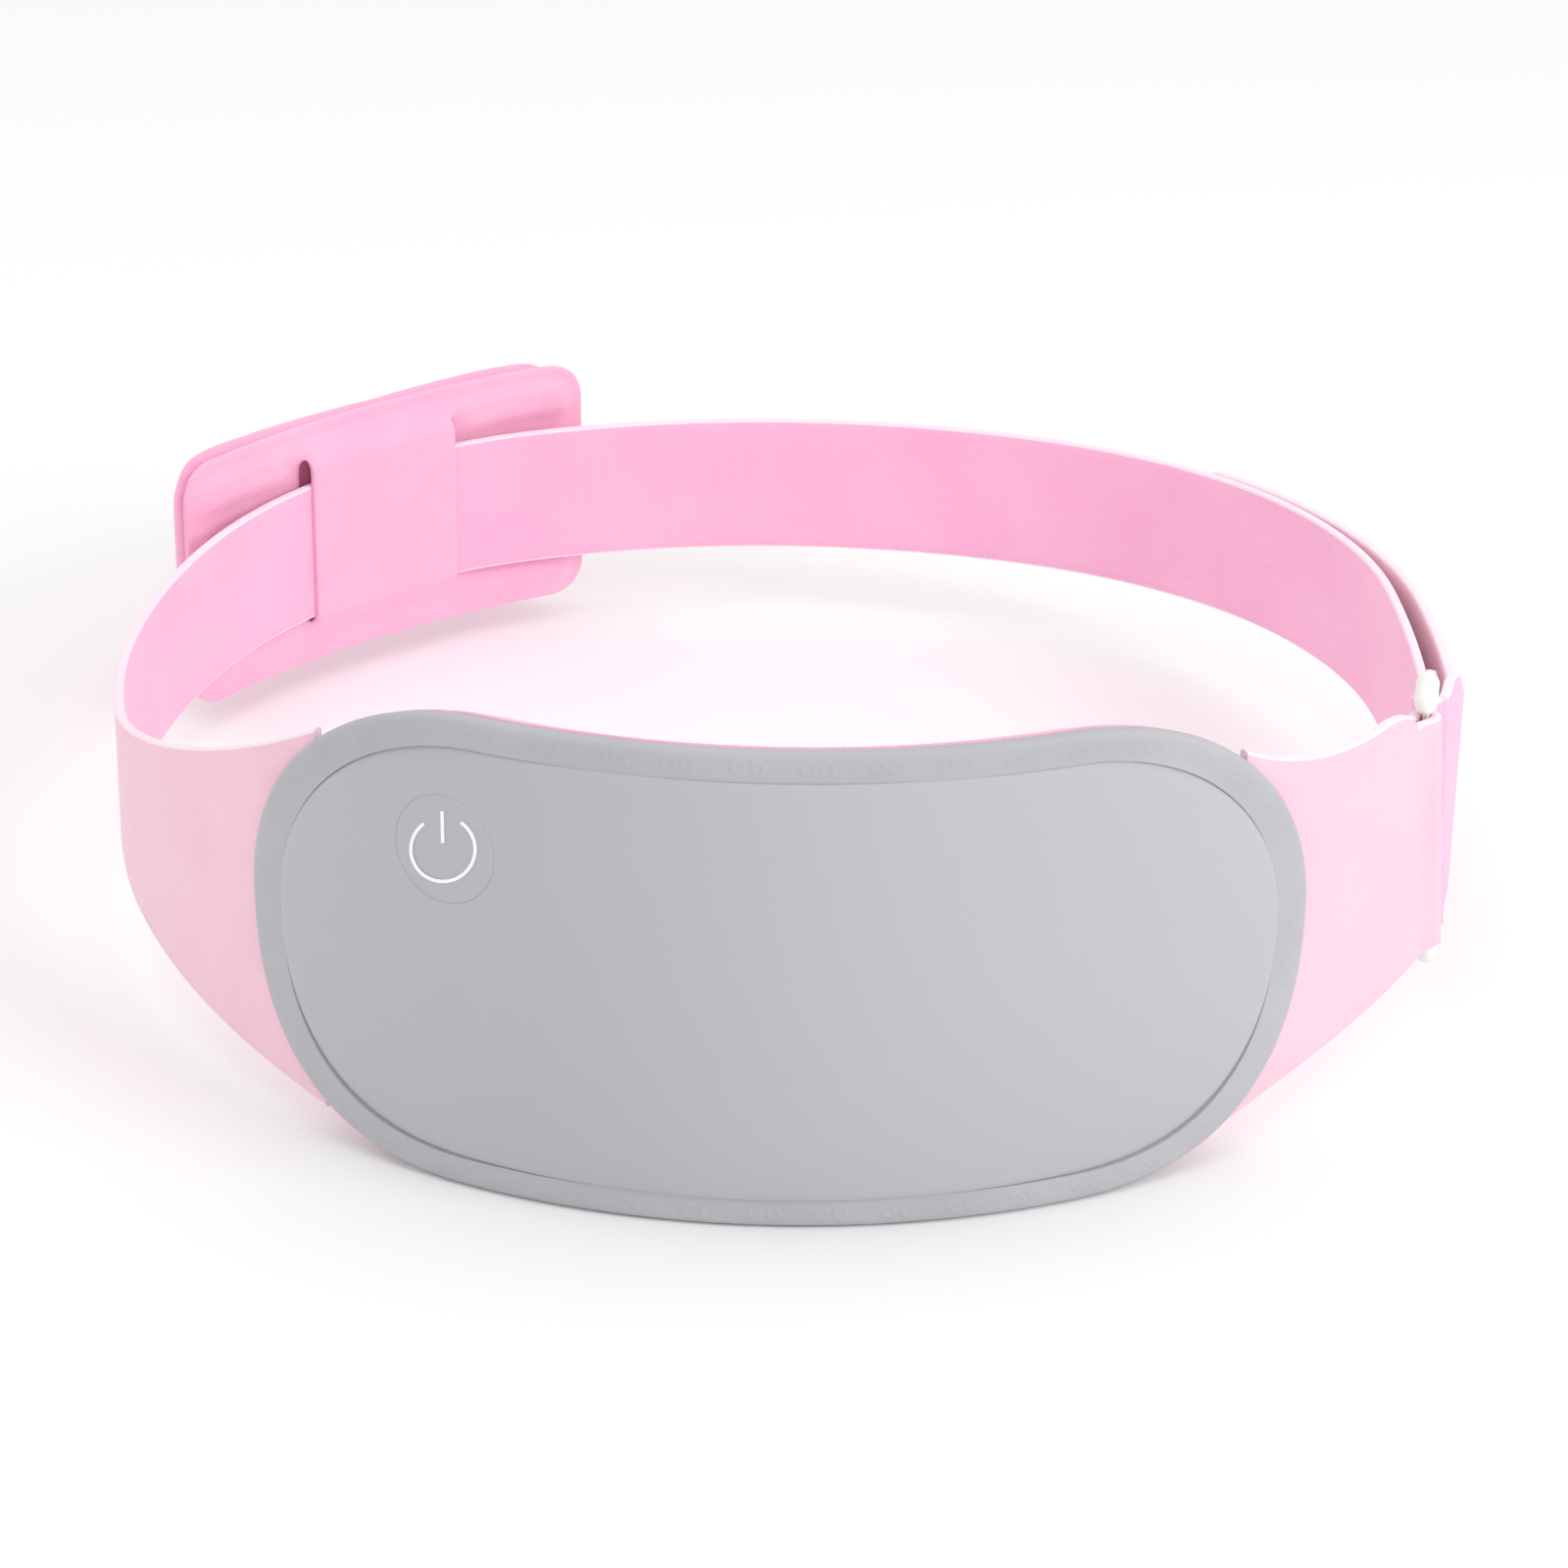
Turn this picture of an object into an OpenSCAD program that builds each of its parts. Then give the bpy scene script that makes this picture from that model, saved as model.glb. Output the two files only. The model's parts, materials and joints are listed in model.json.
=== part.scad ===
// Eye massager mask: a curved, padded front module with heat and vibration,
// held on the head by a soft loop with a slide-on head pad and a folded-back strap end.
// The module faces -Y, +X is the wearer's left, and Z = 0 is the surface it rests on.

/* [Loop] */
// Radius of the front half of the loop, at the middle of the band
loop_r = 100; // [96:1:104]
// Radius of the flatter arcs at the sides and the back of the loop
flat_r = 130; // [120:1:140]
// Radius of the two tighter arcs at the rear corners of the loop
corner_r = 80; // [74:1:86]
// Thickness of the band, strap and wings
band_t = 1.5; // [1.2:0.1:1.6]
// Width of the strap
strap_w = 23.4; // [20:0.2:25]

/* [Front module] */
// Height of the front module
mask_h = 70; // [68:0.5:72]
// Half of the length of the front module, measured along its curve
mask_half = 78.7; // [77:0.1:80]
// Height of the middle of the module above the middle of the strap
mask_rise = 10.6; // [9:0.1:12]
// Width of the rim at its top and bottom
rim_w = 4.2; // [3:0.1:5]
// Width of the rim at its two ends
rim_end_w = 6.2; // [5:0.1:7]
// How far the middle of the cover stands out from the loop
dome_out = 5; // [4.6:0.1:5.4]
// Thickness of the soft cover
cover_t = 1.2; // [1:0.1:1.4]
// Thickness of the rigid shells
shell_t = 1.2; // [1:0.1:1.4]

/* [Power button] */
// Radius of the button
button_r = 7.5; // [7:0.1:8]
// How far the button presses in
button_travel = 0.4; // [0.2:0.05:0.4]
// Radius of the power mark's ring
mark_r = 4.18; // [4:0.01:5.5]
// Width of the power mark's line
mark_line = 0.45; // [0.3:0.05:0.8]

/* [Strap ring] */
// Radius of the ring's two upright bars
bar_r = 0.55; // [0.45:0.05:0.55]
// Radius of the ring's two rounded ends
ring_end_r = 1.65; // [1.2:0.05:1.65]

/* [Head pad] */
// Length of the head pad along its curve
pad_len = 81; // [76:1:84]
// Height of the head pad
pad_h = 42; // [39:0.5:44]
// Thickness of the head pad
pad_t = 8; // [7:0.5:9]
// Distance between the two slits that the strap runs through
slit_gap = 29.6; // [26:0.2:31]

/* [Hidden] */
$fn = 96;

// --- Heights and the plan of the loop ---
mask_z = mask_h / 2;                      // middle of the front module
strap_z = mask_z - mask_rise;             // middle of the strap
flat_a = acos((flat_r - loop_r) / (flat_r - corner_r) / sqrt(2)) - 45; // half-angle of a flat arc
corner_c = (flat_r - corner_r) * sin(flat_a); // a corner arc's centre lies at (+-corner_c, corner_c)
r_in = loop_r - band_t / 2;
r_out = loop_r + band_t / 2;
seam = 0.02;                              // at a seam one length of band is this much thinner

// --- Front module ---
face_r = loop_r + 1;                      // radius at which the outline's lengths are measured
corner_from = 40;                         // the outline's edges are level up to this length from the middle
top_power = 1.9;                          // roundness of the upper corners
bottom_power = 2.5;                       // roundness of the lower corners
rim_out = loop_r + 2.5;
dome_shift = 8;                           // the cover's axis stands this far in front of the loop's
dome_plan_r = loop_r + dome_out - dome_shift;
dome_rho = 241;                           // radius of the cover's bulge from top to bottom
shell_deep = cover_t + 0.1;               // depth of the front shell's face below the cover's face
front_shell_t = 1.6;
flange_a = 30.3;                          // the front shell's flange stops here, short of the wings
flange_x = loop_r * sin(flange_a);
tray_a = 31;                              // half-angle of the back shell
tray_h = 56;                              // height of the back shell
tray_in = 91;                             // radius of the back shell's face
tray_out = loop_r - 0.8;
pad_edge_r = loop_r - 0.85;
face_axis = 156;                          // the face pad's inner face is a cylinder about this Y
face_rho = 235.5;
eye_a = 21;                               // angle of each eye recess
eye_r = 18;
eye_floor = 88.2;
heater_r = 17;
nose_r = 20;
nose_z = -5;                              // height of the middle of the nose relief

// --- Electronics, in the back shell ---
board_a = -23.5;                          // angle of the circuit board
board = [20, 48, 1];                      // width, height, thickness
board_back = 93.4;                        // distance of the board's back from the loop's axis
board_low = -26.5;                        // lower edge of the board, from the module's middle
switch_size = [6, 6, 3];
plunger_r = 1.6;
button_a = -24.8;                         // angle of the power button on the cover
button_z = strap_z + 26.8;
button_off = (board_back + 8) * sin(button_a - board_a); // button's distance from the board's middle
stem_r = 2.5;
mark_tilt = 26.8;                         // the mark is laid on from ahead and above, where it reads as round
mark_turn = 5.8;
mark_at = [-43.5, -94.1, button_z];       // middle of the mark, on the cover
cell = [24, 46, 4.5];                     // battery: width, height, thickness
cell_a = 22.5;
cell_back = 93;
motor_a = 9.5;
motor_r = 3;
motor_len = 11;
motor_z = mask_z - 5;                     // lower end of each motor
motor_radius_pos = 96.1;
shaft_r = 0.5;
weight_r = 2.7;
screw_a = 13;
screw_z = 21;
screw_r = 0.95;
wire_r = 0.5;
wire_a = 14.2;                            // angle at which each heater's wires come through the shell
usb = [8.94, 7.3, 3.2];                   // charging socket: width, depth, thickness

// --- Strap ring, fold and tail ---
ring_mid_a = 65.8;                        // angle of the front bar's middle
ring_lean = 12.7;                         // the bars lean forwards at the top
ring_top = 26.7;                          // ends of the front bar's hem, from the middle of the strap
ring_bottom = -13.6;
ring_mid_z = strap_z + (ring_top + ring_bottom) / 2;
ring_half = (ring_top - ring_bottom) / 2 / cos(ring_lean);
bar_span = 4.42;                          // distance of the rear bar behind the front one
bar_drop = 1.2;                           // the strap pulls the rear bar inwards
fold_r = 1.55;                            // the strap's fold round the rear bar, at mid-thickness
hem_in = bar_r + 0.15;
hem_out = hem_in + band_t;
leg_x = 94.6;                             // reach of the strap's inner layer to the side, at mid-thickness
tail_x = 98.8;                            // reach of its outer layer, the tail
fold_s = 119.3;                           // length along the band of the rear bar's middle
peel_s = 127.3;                           // the tail begins here
peel_gap = 0.3;
join_a = 50;                              // the two layers meet at this angle of the right rear corner
leg_side_r = 300;                         // radius of the inner layer's flatter arc at the side
tail_side_r = 250;                        // radius of the tail's flatter arc at the side
tail_off = band_t + 0.35;                 // the tail's middle lies this far outside the strap's where they meet
tail_tip_r = 6;
hook_t = 0.25;
hook_from = 36;                           // the hooks cover the tail's inner face from this angle to its end

// --- Head pad ---
pad_phi = 131.9;                          // direction of the pad's middle from its corner arc's centre
pad_in = corner_r + band_t / 2 + 0.35;    // the lining clears the strap
pad_rho = 150;                            // the pad is flatter than the strap
lining_t = 1.2;
bridge_in = corner_r - band_t / 2 - 0.35 - lining_t;
bridge_low = -13;                         // lower end of the slits
bridge_high = 16.3;                       // upper end of the slits
pad_z = 0.2;                              // middle of the pad, from the middle of the strap

// --- Everything is moved so that the origin lies under the middle of the whole part ---
left_reach = 101.65;                      // how far the head pad reaches to the left and to the rear
rear_reach = 105.21;
shift = [(left_reach - tail_x - band_t / 2) / 2, (loop_r + dome_out - rear_reach) / 2, 0];

// ---------- Helpers ----------

// Angle in degrees of a length along the front of the loop
function ang(s, r = loop_r) = s / r * 180 / PI;

// A point on a quadratic curve from a to c that leans on b
function lean(a, b, c, t) = (1 - t) * (1 - t) * a + 2 * t * (1 - t) * b + t * t * c;

// A quadratic curve as points, with n steps
function curve(a, b, c, n = 9) = [for (i = [0:n]) lean(a, b, c, i / n)];

// One corner of the front module's outline: [length along the curve, height]
function corner(power, end, high, n = 9) =
    [for (i = [0:n]) let (t = 90 * i / n)
        [corner_from + (end - corner_from) * pow(cos(t), 2 / power), high * pow(sin(t), 2 / power)]];

// The front module's outline, inset at its ends and at its top and bottom
function outline(inset_end = 0, inset_high = 0) =
    let (
        end = mask_half - inset_end,
        high = mask_h / 2 - inset_high,
        up = corner(top_power, end, high),
        down = corner(bottom_power, end, high),
        n = len(up) - 1
    )
    concat(
        up,
        [for (i = [n:-1:0]) [-up[i][0], up[i][1]]],
        [for (i = [1:n]) [-down[i][0], -down[i][1]]],
        [for (i = [n:-1:1]) [down[i][0], -down[i][1]]]
    );

// The arc that joins a flatter arc of radius rf, upright at (x0, 0), to the right rear corner,
// off outside the strap's middle: [centre x, centre y, radius]
function bend(x0, rf, off) =
    let (
        px = corner_c + (corner_r + off) * cos(join_a),
        py = corner_c + (corner_r + off) * sin(join_a),
        ax = px - x0 + rf,
        r = (rf * rf - ax * ax - py * py) / 2 / (rf - ax * cos(join_a) - py * sin(join_a))
    )
    [px - r * cos(join_a), py - r * sin(join_a), r];

// Angle at which that flatter arc meets the bend
function bend_from(b, x0, rf) = atan2(b[1], b[0] - x0 + rf);

// Middle of the rear bar, and the radius of an arc that leaves (x0, 0) upright towards the front
// and touches the fold there: on its inside when side is -1, on its outside when side is 1
bar_rear = [
    loop_r * sin(ring_mid_a) + bar_span * cos(ring_mid_a) - bar_drop * sin(ring_mid_a),
    -loop_r * cos(ring_mid_a) + bar_span * sin(ring_mid_a) + bar_drop * cos(ring_mid_a)
];
function run_r(x0, side) =
    let (d = bar_rear[0] - x0)
    (d * d + bar_rear[1] * bar_rear[1] - fold_r * fold_r) / 2 / (-side * fold_r - d);

// Rounded rectangle about the origin
module rounded(w, h, r) {
    square([w - 2 * r, h], center = true);
    square([w, h - 2 * r], center = true);
    for (x = [-1, 1], y = [-1, 1]) translate([x * (w / 2 - r), y * (h / 2 - r)]) circle(r);
}

// A tube wall about the Z axis
module tube(inner, outer, low, high) {
    difference() {
        translate([0, 0, low]) cylinder(r = outer, h = high - low);
        translate([0, 0, low - 1]) cylinder(r = inner, h = high - low + 2);
    }
}

// Part of a tube wall, between two angles from +X
module arc_wall(inner, outer, low, high, from, to) {
    rotate([0, 0, from]) rotate_extrude(angle = to - from)
        translate([inner, low]) square([outer - inner, high - low]);
}

// A prism through the front of the loop, aimed at the angle a from -Y
module forward(a = 0) {
    rotate([0, 0, a]) translate([0, -50, 0]) rotate([90, 0, 0]) linear_extrude(75) children();
}

// A cut-out with the outline of the front module, at a radius
module outline_prism(inset_end = 0, inset_high = 0, r = face_r) {
    forward() polygon([for (p = outline(inset_end, inset_high)) [r * sin(ang(p[0], face_r)), mask_z + p[1]]]);
}

// The shape of a band's edges round angle a, from [length, height above the strap's middle] points
module band_prism(a, r, points) {
    forward(a) polygon([for (p = points) [r * sin(ang(p[0]) - a), strap_z + p[1]]]);
}

// Moves to a place in the module: angle from -Y, distance out, height. Local -Y faces out, +Z stays up.
module at(a, r, z) {
    rotate([0, 0, a]) translate([0, -r, z]) children();
}

// Moves to a line along the ring's bars: x behind the front bar, y inwards from it
module ring_place(x = 0, y = 0) {
    rotate([0, 0, ring_mid_a]) translate([x, y - loop_r, ring_mid_z]) rotate([0, -ring_lean, 0]) children();
}

// Everything behind a line that leans with the bars and passes the middle of the ring at length s
module behind_bar(s) {
    run = tan(ring_lean);
    mid = (ring_top + ring_bottom) / 2;
    band_prism(78, 98, [[s - run * (40 - mid), 40], [172, 40], [172, -40], [s + run * (40 + mid), -40]]);
}

// A round bar that runs outwards from radius r1 to radius r2
module spoke(a, z, radius, r1, r2, off = 0) {
    rotate([0, 0, a]) translate([off, -r1, z]) rotate([90, 0, 0]) cylinder(r = radius, h = r2 - r1);
}

// Everything below the cover's bulging face, moved out by off
module barrel(off) {
    translate([0, -dome_shift, 0]) rotate_extrude() intersection() {
        translate([dome_plan_r - dome_rho, mask_z]) circle(dome_rho + off, $fn = 360);
        translate([50, -2]) square([60, mask_h + 4]);
    }
}

// ---------- Front module ----------

module front_cover() {
    color("silver") difference() {
        intersection() {
            difference() {
                barrel(0);
                barrel(-cover_t);
            }
            outline_prism(rim_end_w, rim_w);
        }
        button_way(button_r + 0.15, 99, 112);
    }
}

module rim_band() {
    color("lightslategray") intersection() {
        tube(r_out + 0.1, rim_out, 0, mask_h);
        difference() {
            outline_prism();
            outline_prism(rim_end_w, rim_w);
        }
    }
}

module front_shell() {
    color("gainsboro") difference() {
        union() {
            intersection() {
                difference() {
                    barrel(-shell_deep);
                    barrel(-shell_deep - front_shell_t);
                }
                outline_prism(rim_end_w + 0.3, rim_w + 0.3);
            }
            intersection() {
                tube(r_in + 0.05, r_out, 0, mask_h);
                difference() {
                    outline_prism(1, 1);
                    outline_prism(15, 8);
                }
                forward() polygon([[0, -1], [flange_x, -1], [flange_x, mask_h + 1], [-flange_x, mask_h + 1], [-flange_x, -1]]);
            }
            for (a = [-screw_a, screw_a], z = [-screw_z, screw_z]) spoke(a, mask_z + z, 2.2, 97, 101.4);
        }
        for (a = [-screw_a, screw_a], z = [-screw_z, screw_z]) spoke(a, mask_z + z, screw_r + 0.05, 96, 100.2);
        button_way(stem_r + 0.3, 97, 104);
        intersection() {
            button_way(button_r + 0.3, 97, 106);
            difference() {
                barrel(-shell_deep + 1);
                barrel(-shell_deep - button_travel - 0.2);
            }
        }
    }
}

module back_shell() {
    color("whitesmoke") difference() {
        union() {
            difference() {
                tray_block(tray_in, tray_out, 0);
                tray_block(tray_in + shell_t, tray_out + 1, shell_t);
            }
            for (a = [-screw_a, screw_a], z = [-screw_z, screw_z]) spoke(a, mask_z + z, 2.5, tray_in + 0.5, 96.9);
            for (a = [-motor_a, motor_a]) at(a, tray_in + 1.5, motor_z + motor_len / 2)
                cube([4, 1.6, 7], center = true);
        }
        for (a = [-screw_a, screw_a], z = [-screw_z, screw_z]) {
            spoke(a, mask_z + z, screw_r + 0.05, tray_in - 1, 98);
            spoke(a, mask_z + z, 1.9, tray_in - 1, tray_in + 1);
        }
        at(board_a, board_back + board[2] + usb[2] / 2, mask_z - tray_h / 2)
            cube([usb[0] + 0.2, usb[2] + 0.2, 6], center = true);
        for (i = [0, 1]) spoke(i == 0 ? -wire_a : wire_a, mask_z - 12 + 3 * i, 0.8, tray_in - 1, tray_in + 2);
        for (a = [-motor_a, motor_a]) at(a, motor_radius_pos, motor_z - 1) cylinder(r = motor_r + 0.05, h = motor_len + 8);
    }
}

// The block that the back shell fills, made smaller all round by t
module tray_block(inner, outer, t) {
    half = tray_a - ang(t, 95);
    arc_wall(inner, outer, mask_z - tray_h / 2 + t, mask_z + tray_h / 2 - t, -90 - half, -90 + half);
}

module face_pad() {
    color("dimgray") difference() {
        intersection() {
            rotate_extrude() translate([0, mask_z]) polygon([
                [pad_edge_r, 34], [97.5, 34], [92, 31.2], [87, 25.5], [83, 18], [79, 9], [79, -9],
                [83, -18], [87, -25.5], [92, -31.2], [97.5, -34], [pad_edge_r, -34]
            ]);
            outline_prism(1, 1, pad_edge_r);
            difference() {
                translate([0, -20, 0]) cube([160, 200, 200], center = true);
                translate([0, face_axis, -1]) cylinder(r = face_rho, h = mask_h + 2);
            }
        }
        tray_block(tray_in - 0.05, tray_out + 1, -0.05);
        for (a = [-eye_a, eye_a]) {
            spoke(a, mask_z, eye_r, 70, eye_floor);
            intersection() {
                tube(tray_in - 0.65, tray_in + 0.5, 0, mask_h);
                spoke(a, mask_z, heater_r + 0.2, 80, 95);
            }
        }
        translate([0, -60, nose_z]) rotate([90, 0, 0]) cylinder(r = nose_r, h = 30);
        at(board_a, 96, 0) cube([12.4, 6.9, 18], center = true);
    }
}

module heater(a) {
    color("orange") intersection() {
        tube(tray_in - 0.6, tray_in - 0.1, 0, mask_h);
        spoke(a, mask_z, heater_r, 80, 95);
    }
}

module heater_left() heater(-eye_a);

module heater_right() heater(eye_a);

// ---------- Electronics ----------

module circuit_board() {
    color("seagreen") at(board_a, board_back, mask_z + board_low) translate([-board[0] / 2, -board[2], 0])
        cube([board[0], board[2], board[1]]);
}

module tact_switch() {
    color("dimgray") difference() {
        at(board_a, board_back + board[2], button_z) translate([button_off, -switch_size[2] / 2, 0])
            cube([switch_size[0], switch_size[2], switch_size[1]], center = true);
        spoke(board_a, button_z, plunger_r + 0.1, board_back + 2.4, board_back + 6, button_off);
    }
}

module usb_port() {
    color("silver") difference() {
        at(board_a, board_back + board[2] + usb[2] / 2, mask_z - tray_h / 2 + usb[1] / 2)
            cube([usb[0], usb[2], usb[1]], center = true);
        at(board_a, board_back + board[2] + usb[2] / 2, mask_z - tray_h / 2 + 2)
            cube([usb[0] - 0.7, usb[2] - 0.7, 7], center = true);
    }
}

module status_led() {
    color("white") at(board_a, board_back + board[2] + 0.4, button_z - 8) translate([button_off, 0, 0])
        cube([1.6, 0.8, 1.2], center = true);
}

module battery() {
    color("lightsteelblue") at(cell_a, cell_back, mask_z) translate([-cell[0] / 2, -cell[2], -cell[1] / 2 - 2])
        cube([cell[0], cell[2], cell[1]]);
}

module motor(a) {
    color("darkgray") at(a, motor_radius_pos, motor_z) difference() {
        cylinder(r = motor_r, h = motor_len);
        translate([0, 0, motor_len - 3.2]) cylinder(r = shaft_r + 0.05, h = 4);
    }
}

module motor_left() motor(-motor_a);

module motor_right() motor(motor_a);

module shell_screws() {
    color("slategray") for (a = [-screw_a, screw_a], z = [-screw_z, screw_z]) {
        spoke(a, mask_z + z, screw_r, tray_in + 0.5, 100);
        spoke(a, mask_z + z, 1.8, tray_in + 0.05, tray_in + 0.95);
    }
}

// A wire that runs round the module at one height
module wire_arc(r, z, from, to) {
    rotate([0, 0, from - 90]) rotate_extrude(angle = to - from) translate([r, z]) circle(wire_r, $fn = 24);
}

// An upright length of wire
module wire_up(a, r, low, high) {
    at(a, r, low) cylinder(r = wire_r, h = high - low, $fn = 24);
}

// The bend between an upright wire and one that runs round
module wire_elbow(a, r, z) {
    at(a, r, z) sphere(wire_r + 0.1, $fn = 24);
}

module battery_lead() {
    color("crimson") for (i = [0, 1]) {
        a = 18.5 + 1.5 * i;
        r = board_back + 0.8;
        z = mask_z + 24.7 + 1.2 * i;
        union() {
            wire_arc(r, z, -a, a);
            wire_elbow(-a, r, z);
            wire_elbow(a, r, z);
            wire_up(-a, r, mask_z + 21.5, z);
            wire_up(a, r, mask_z + 21, z);
        }
    }
}

module motor_leads() {
    color("royalblue") for (i = [0, 1]) {
        a = i == 0 ? -motor_a : motor_a;
        r = board_back + 2.1;
        z = mask_z - 15 - 2 * i;
        union() {
            wire_up(a, r, z, motor_z);
            wire_elbow(a, r, z);
            wire_arc(r, z, -18.2, a);
        }
    }
}

module heater_leads() {
    color("goldenrod") for (i = [0, 1]) {
        a = i == 0 ? -wire_a : wire_a;
        r = board_back + 0.6;
        z = mask_z - 12 + 3 * i;
        union() {
            spoke(a, z, wire_r, tray_in - 0.1, r);
            wire_elbow(a, r, z);
            wire_arc(r, z, -17.4, a);
        }
    }
}

// ---------- Power button ----------

// A round way in at the button, along the board's normal
module button_way(radius, r1, r2) {
    spoke(board_a, button_z, radius, r1, r2, button_off);
}

module power_button() {
    color("silver") union() {
        intersection() {
            difference() {
                barrel(0);
                barrel(-cover_t);
            }
            button_way(button_r, 99, 112);
        }
        button_way(stem_r, board_back + 5.15, 102.9);
    }
}

module power_mark() {
    color("white") intersection() {
        difference() {
            barrel(0.12);
            barrel(0);
        }
        translate(mark_at) rotate([90 - mark_tilt, 0, mark_turn]) translate([0, 0, -4]) linear_extrude(9) {
            difference() {
                circle(mark_r + mark_line / 2);
                circle(mark_r - mark_line / 2);
                polygon([[0, 0], [-4.2, 6], [4.2, 6]]);
            }
            translate([-mark_line / 2, 0.82]) square([mark_line, 4.16]);
        }
    }
}

module switch_plunger() {
    color("black") spoke(board_a, button_z, plunger_r, board_back + 3.1, board_back + 5.1, button_off);
}

// ---------- Vibration weights ----------

module eccentric(a) {
    color("goldenrod") at(a, motor_radius_pos, motor_z + motor_len) union() {
        translate([0, 0, -3]) cylinder(r = shaft_r, h = 8);
        translate([0, 0, 0.6]) difference() {
            cylinder(r = weight_r, h = 4);
            translate([-5, 0.8, -1]) cube([10, 10, 6]);
        }
    }
}

module eccentric_left() eccentric(-motor_a);

module eccentric_right() eccentric(motor_a);

// ---------- Wings and strap ----------

module left_wing() {
    top = curve([56, 43], [84, 24], [135, strap_w / 2]);
    low = curve([135, -strap_w / 2], [88, -15], [60, -22.3]);
    end = [[157.5, strap_w / 2], [157.5, -strap_w / 2]];
    color("pink") difference() {
        intersection() {
            tube(r_in, r_out, 0, mask_h);
            band_prism(-62, loop_r, [for (p = concat(top, end, low)) [-p[0], p[1]]]);
            arc_wall(50, 120, -1, mask_h + 1, -180, -120);
        }
        outline_prism(rim_end_w - 0.2, rim_w - 0.2);
    }
}

module right_wing() {
    top = concat(curve([58, 42], [72, 30], [96, 30.6]), curve([96, 30.6], [103, 31], [107.6, ring_top - 0.1], 5));
    end = [[110.2, ring_top - 0.1], [119.3, ring_bottom + 0.1]];
    low = curve([106, ring_bottom], [82, -14.5], [66, -20]);
    color("pink") difference() {
        union() {
            difference() {
                intersection() {
                    tube(r_in, r_out, 0, mask_h);
                    band_prism(50, loop_r, concat(top, end, low));
                }
                outline_prism(rim_end_w - 0.2, rim_w - 0.2);
            }
            ring_place() cylinder(r = hem_out, h = 2 * ring_half, center = true);
        }
        ring_place() cylinder(r = hem_in, h = 2 * ring_half + 2, center = true);
    }
}

// The edges of the band behind the ring, where it narrows to the strap's width
function ring_edges() = concat(
    [[105, 27.6]],
    curve([117.4, 27.6], [119.5, 30], [126, 26.2], 5),
    curve([126, 26.2], [136, 17.5], [155, strap_w / 2]),
    [[160, strap_w / 2], [160, -strap_w / 2]],
    curve([155, -strap_w / 2], [140, -12.2], [128, -12.7]),
    [[105, -12.7]]
);

module rear_strap() {
    low = strap_z - strap_w / 2;
    high = strap_z + strap_w / 2;
    half = band_t / 2;
    thin = half - seam;
    b = bend(leg_x, leg_side_r, 0);
    b_from = bend_from(b, leg_x, leg_side_r);
    leg_r = run_r(leg_x, -1);
    tail_r = run_r(tail_x, 1);
    color("hotpink") union() {
        translate([0, loop_r - flat_r, 0])
            arc_wall(flat_r - thin, flat_r + thin, low + seam, high - seam, 89.5 - flat_a, 90.5 + flat_a);
        translate([flat_r - loop_r, 0, 0])
            arc_wall(flat_r - thin, flat_r + thin, low + seam, high - seam, 179.5 - flat_a, 180);
        translate([leg_x - leg_side_r, 0, 0]) arc_wall(
            leg_side_r - thin + seam, leg_side_r + thin - seam, low + 2 * seam, high - 2 * seam, -0.2, b_from + 0.2
        );
        translate([b[0], b[1], 0]) arc_wall(b[2] - thin, b[2] + thin, low + seam, high - seam, b_from, join_a + 0.5);
        translate([corner_c, corner_c, 0])
            arc_wall(corner_r - half, corner_r + half, low, high, join_a, 90 - flat_a);
        translate([-corner_c, corner_c, 0])
            arc_wall(corner_r - half, corner_r + half, low, high, 90 + flat_a, 180 - flat_a);
        difference() {
            union() {
                intersection() {
                    translate([leg_x - leg_r, 0, 0]) arc_wall(leg_r - half, leg_r + half, 0, mask_h, -25, 0);
                    band_prism(78, 98, ring_edges());
                    behind_bar(fold_s);
                }
                ring_place(bar_span, bar_drop) translate([0, 0, bar_span * sin(ring_lean)]) difference() {
                    cylinder(r = fold_r + thin, h = 2 * ring_half - 4 * seam, center = true);
                    rotate([0, 0, 10]) translate([0.2, -5, -30]) cube([10, 10, 60]);
                }
                intersection() {
                    translate([tail_x - tail_r, 0, 0]) arc_wall(tail_r - half, tail_r + half, 0, mask_h, -25, 0);
                    band_prism(78, 98, ring_edges());
                    behind_bar(fold_s);
                    band_prism(78, 98, [[90, 40], [peel_s, 40], [peel_s, -40], [90, -40]]);
                }
            }
            // the way through for the ring's rear bar
            ring_place(bar_span, bar_drop) cylinder(r = fold_r - thin, h = 2 * ring_half + 16, center = true);
        }
    }
}

module strap_ring() {
    across = bar_span * cos(ring_lean);
    span = norm([across, bar_drop]);
    reach = ring_half + 0.2 + ring_end_r;
    color("white") ring_place() rotate([0, 0, atan2(bar_drop, across)]) union() {
        for (x = [0, span]) translate([x, 0, -reach]) cylinder(r = bar_r, h = 2 * reach);
        for (z = [-reach, reach]) {
            translate([0, 0, z]) rotate([0, 90, 0]) cylinder(r = ring_end_r, h = span);
            for (x = [0, span]) translate([x, 0, z]) sphere(ring_end_r);
        }
    }
}

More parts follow.
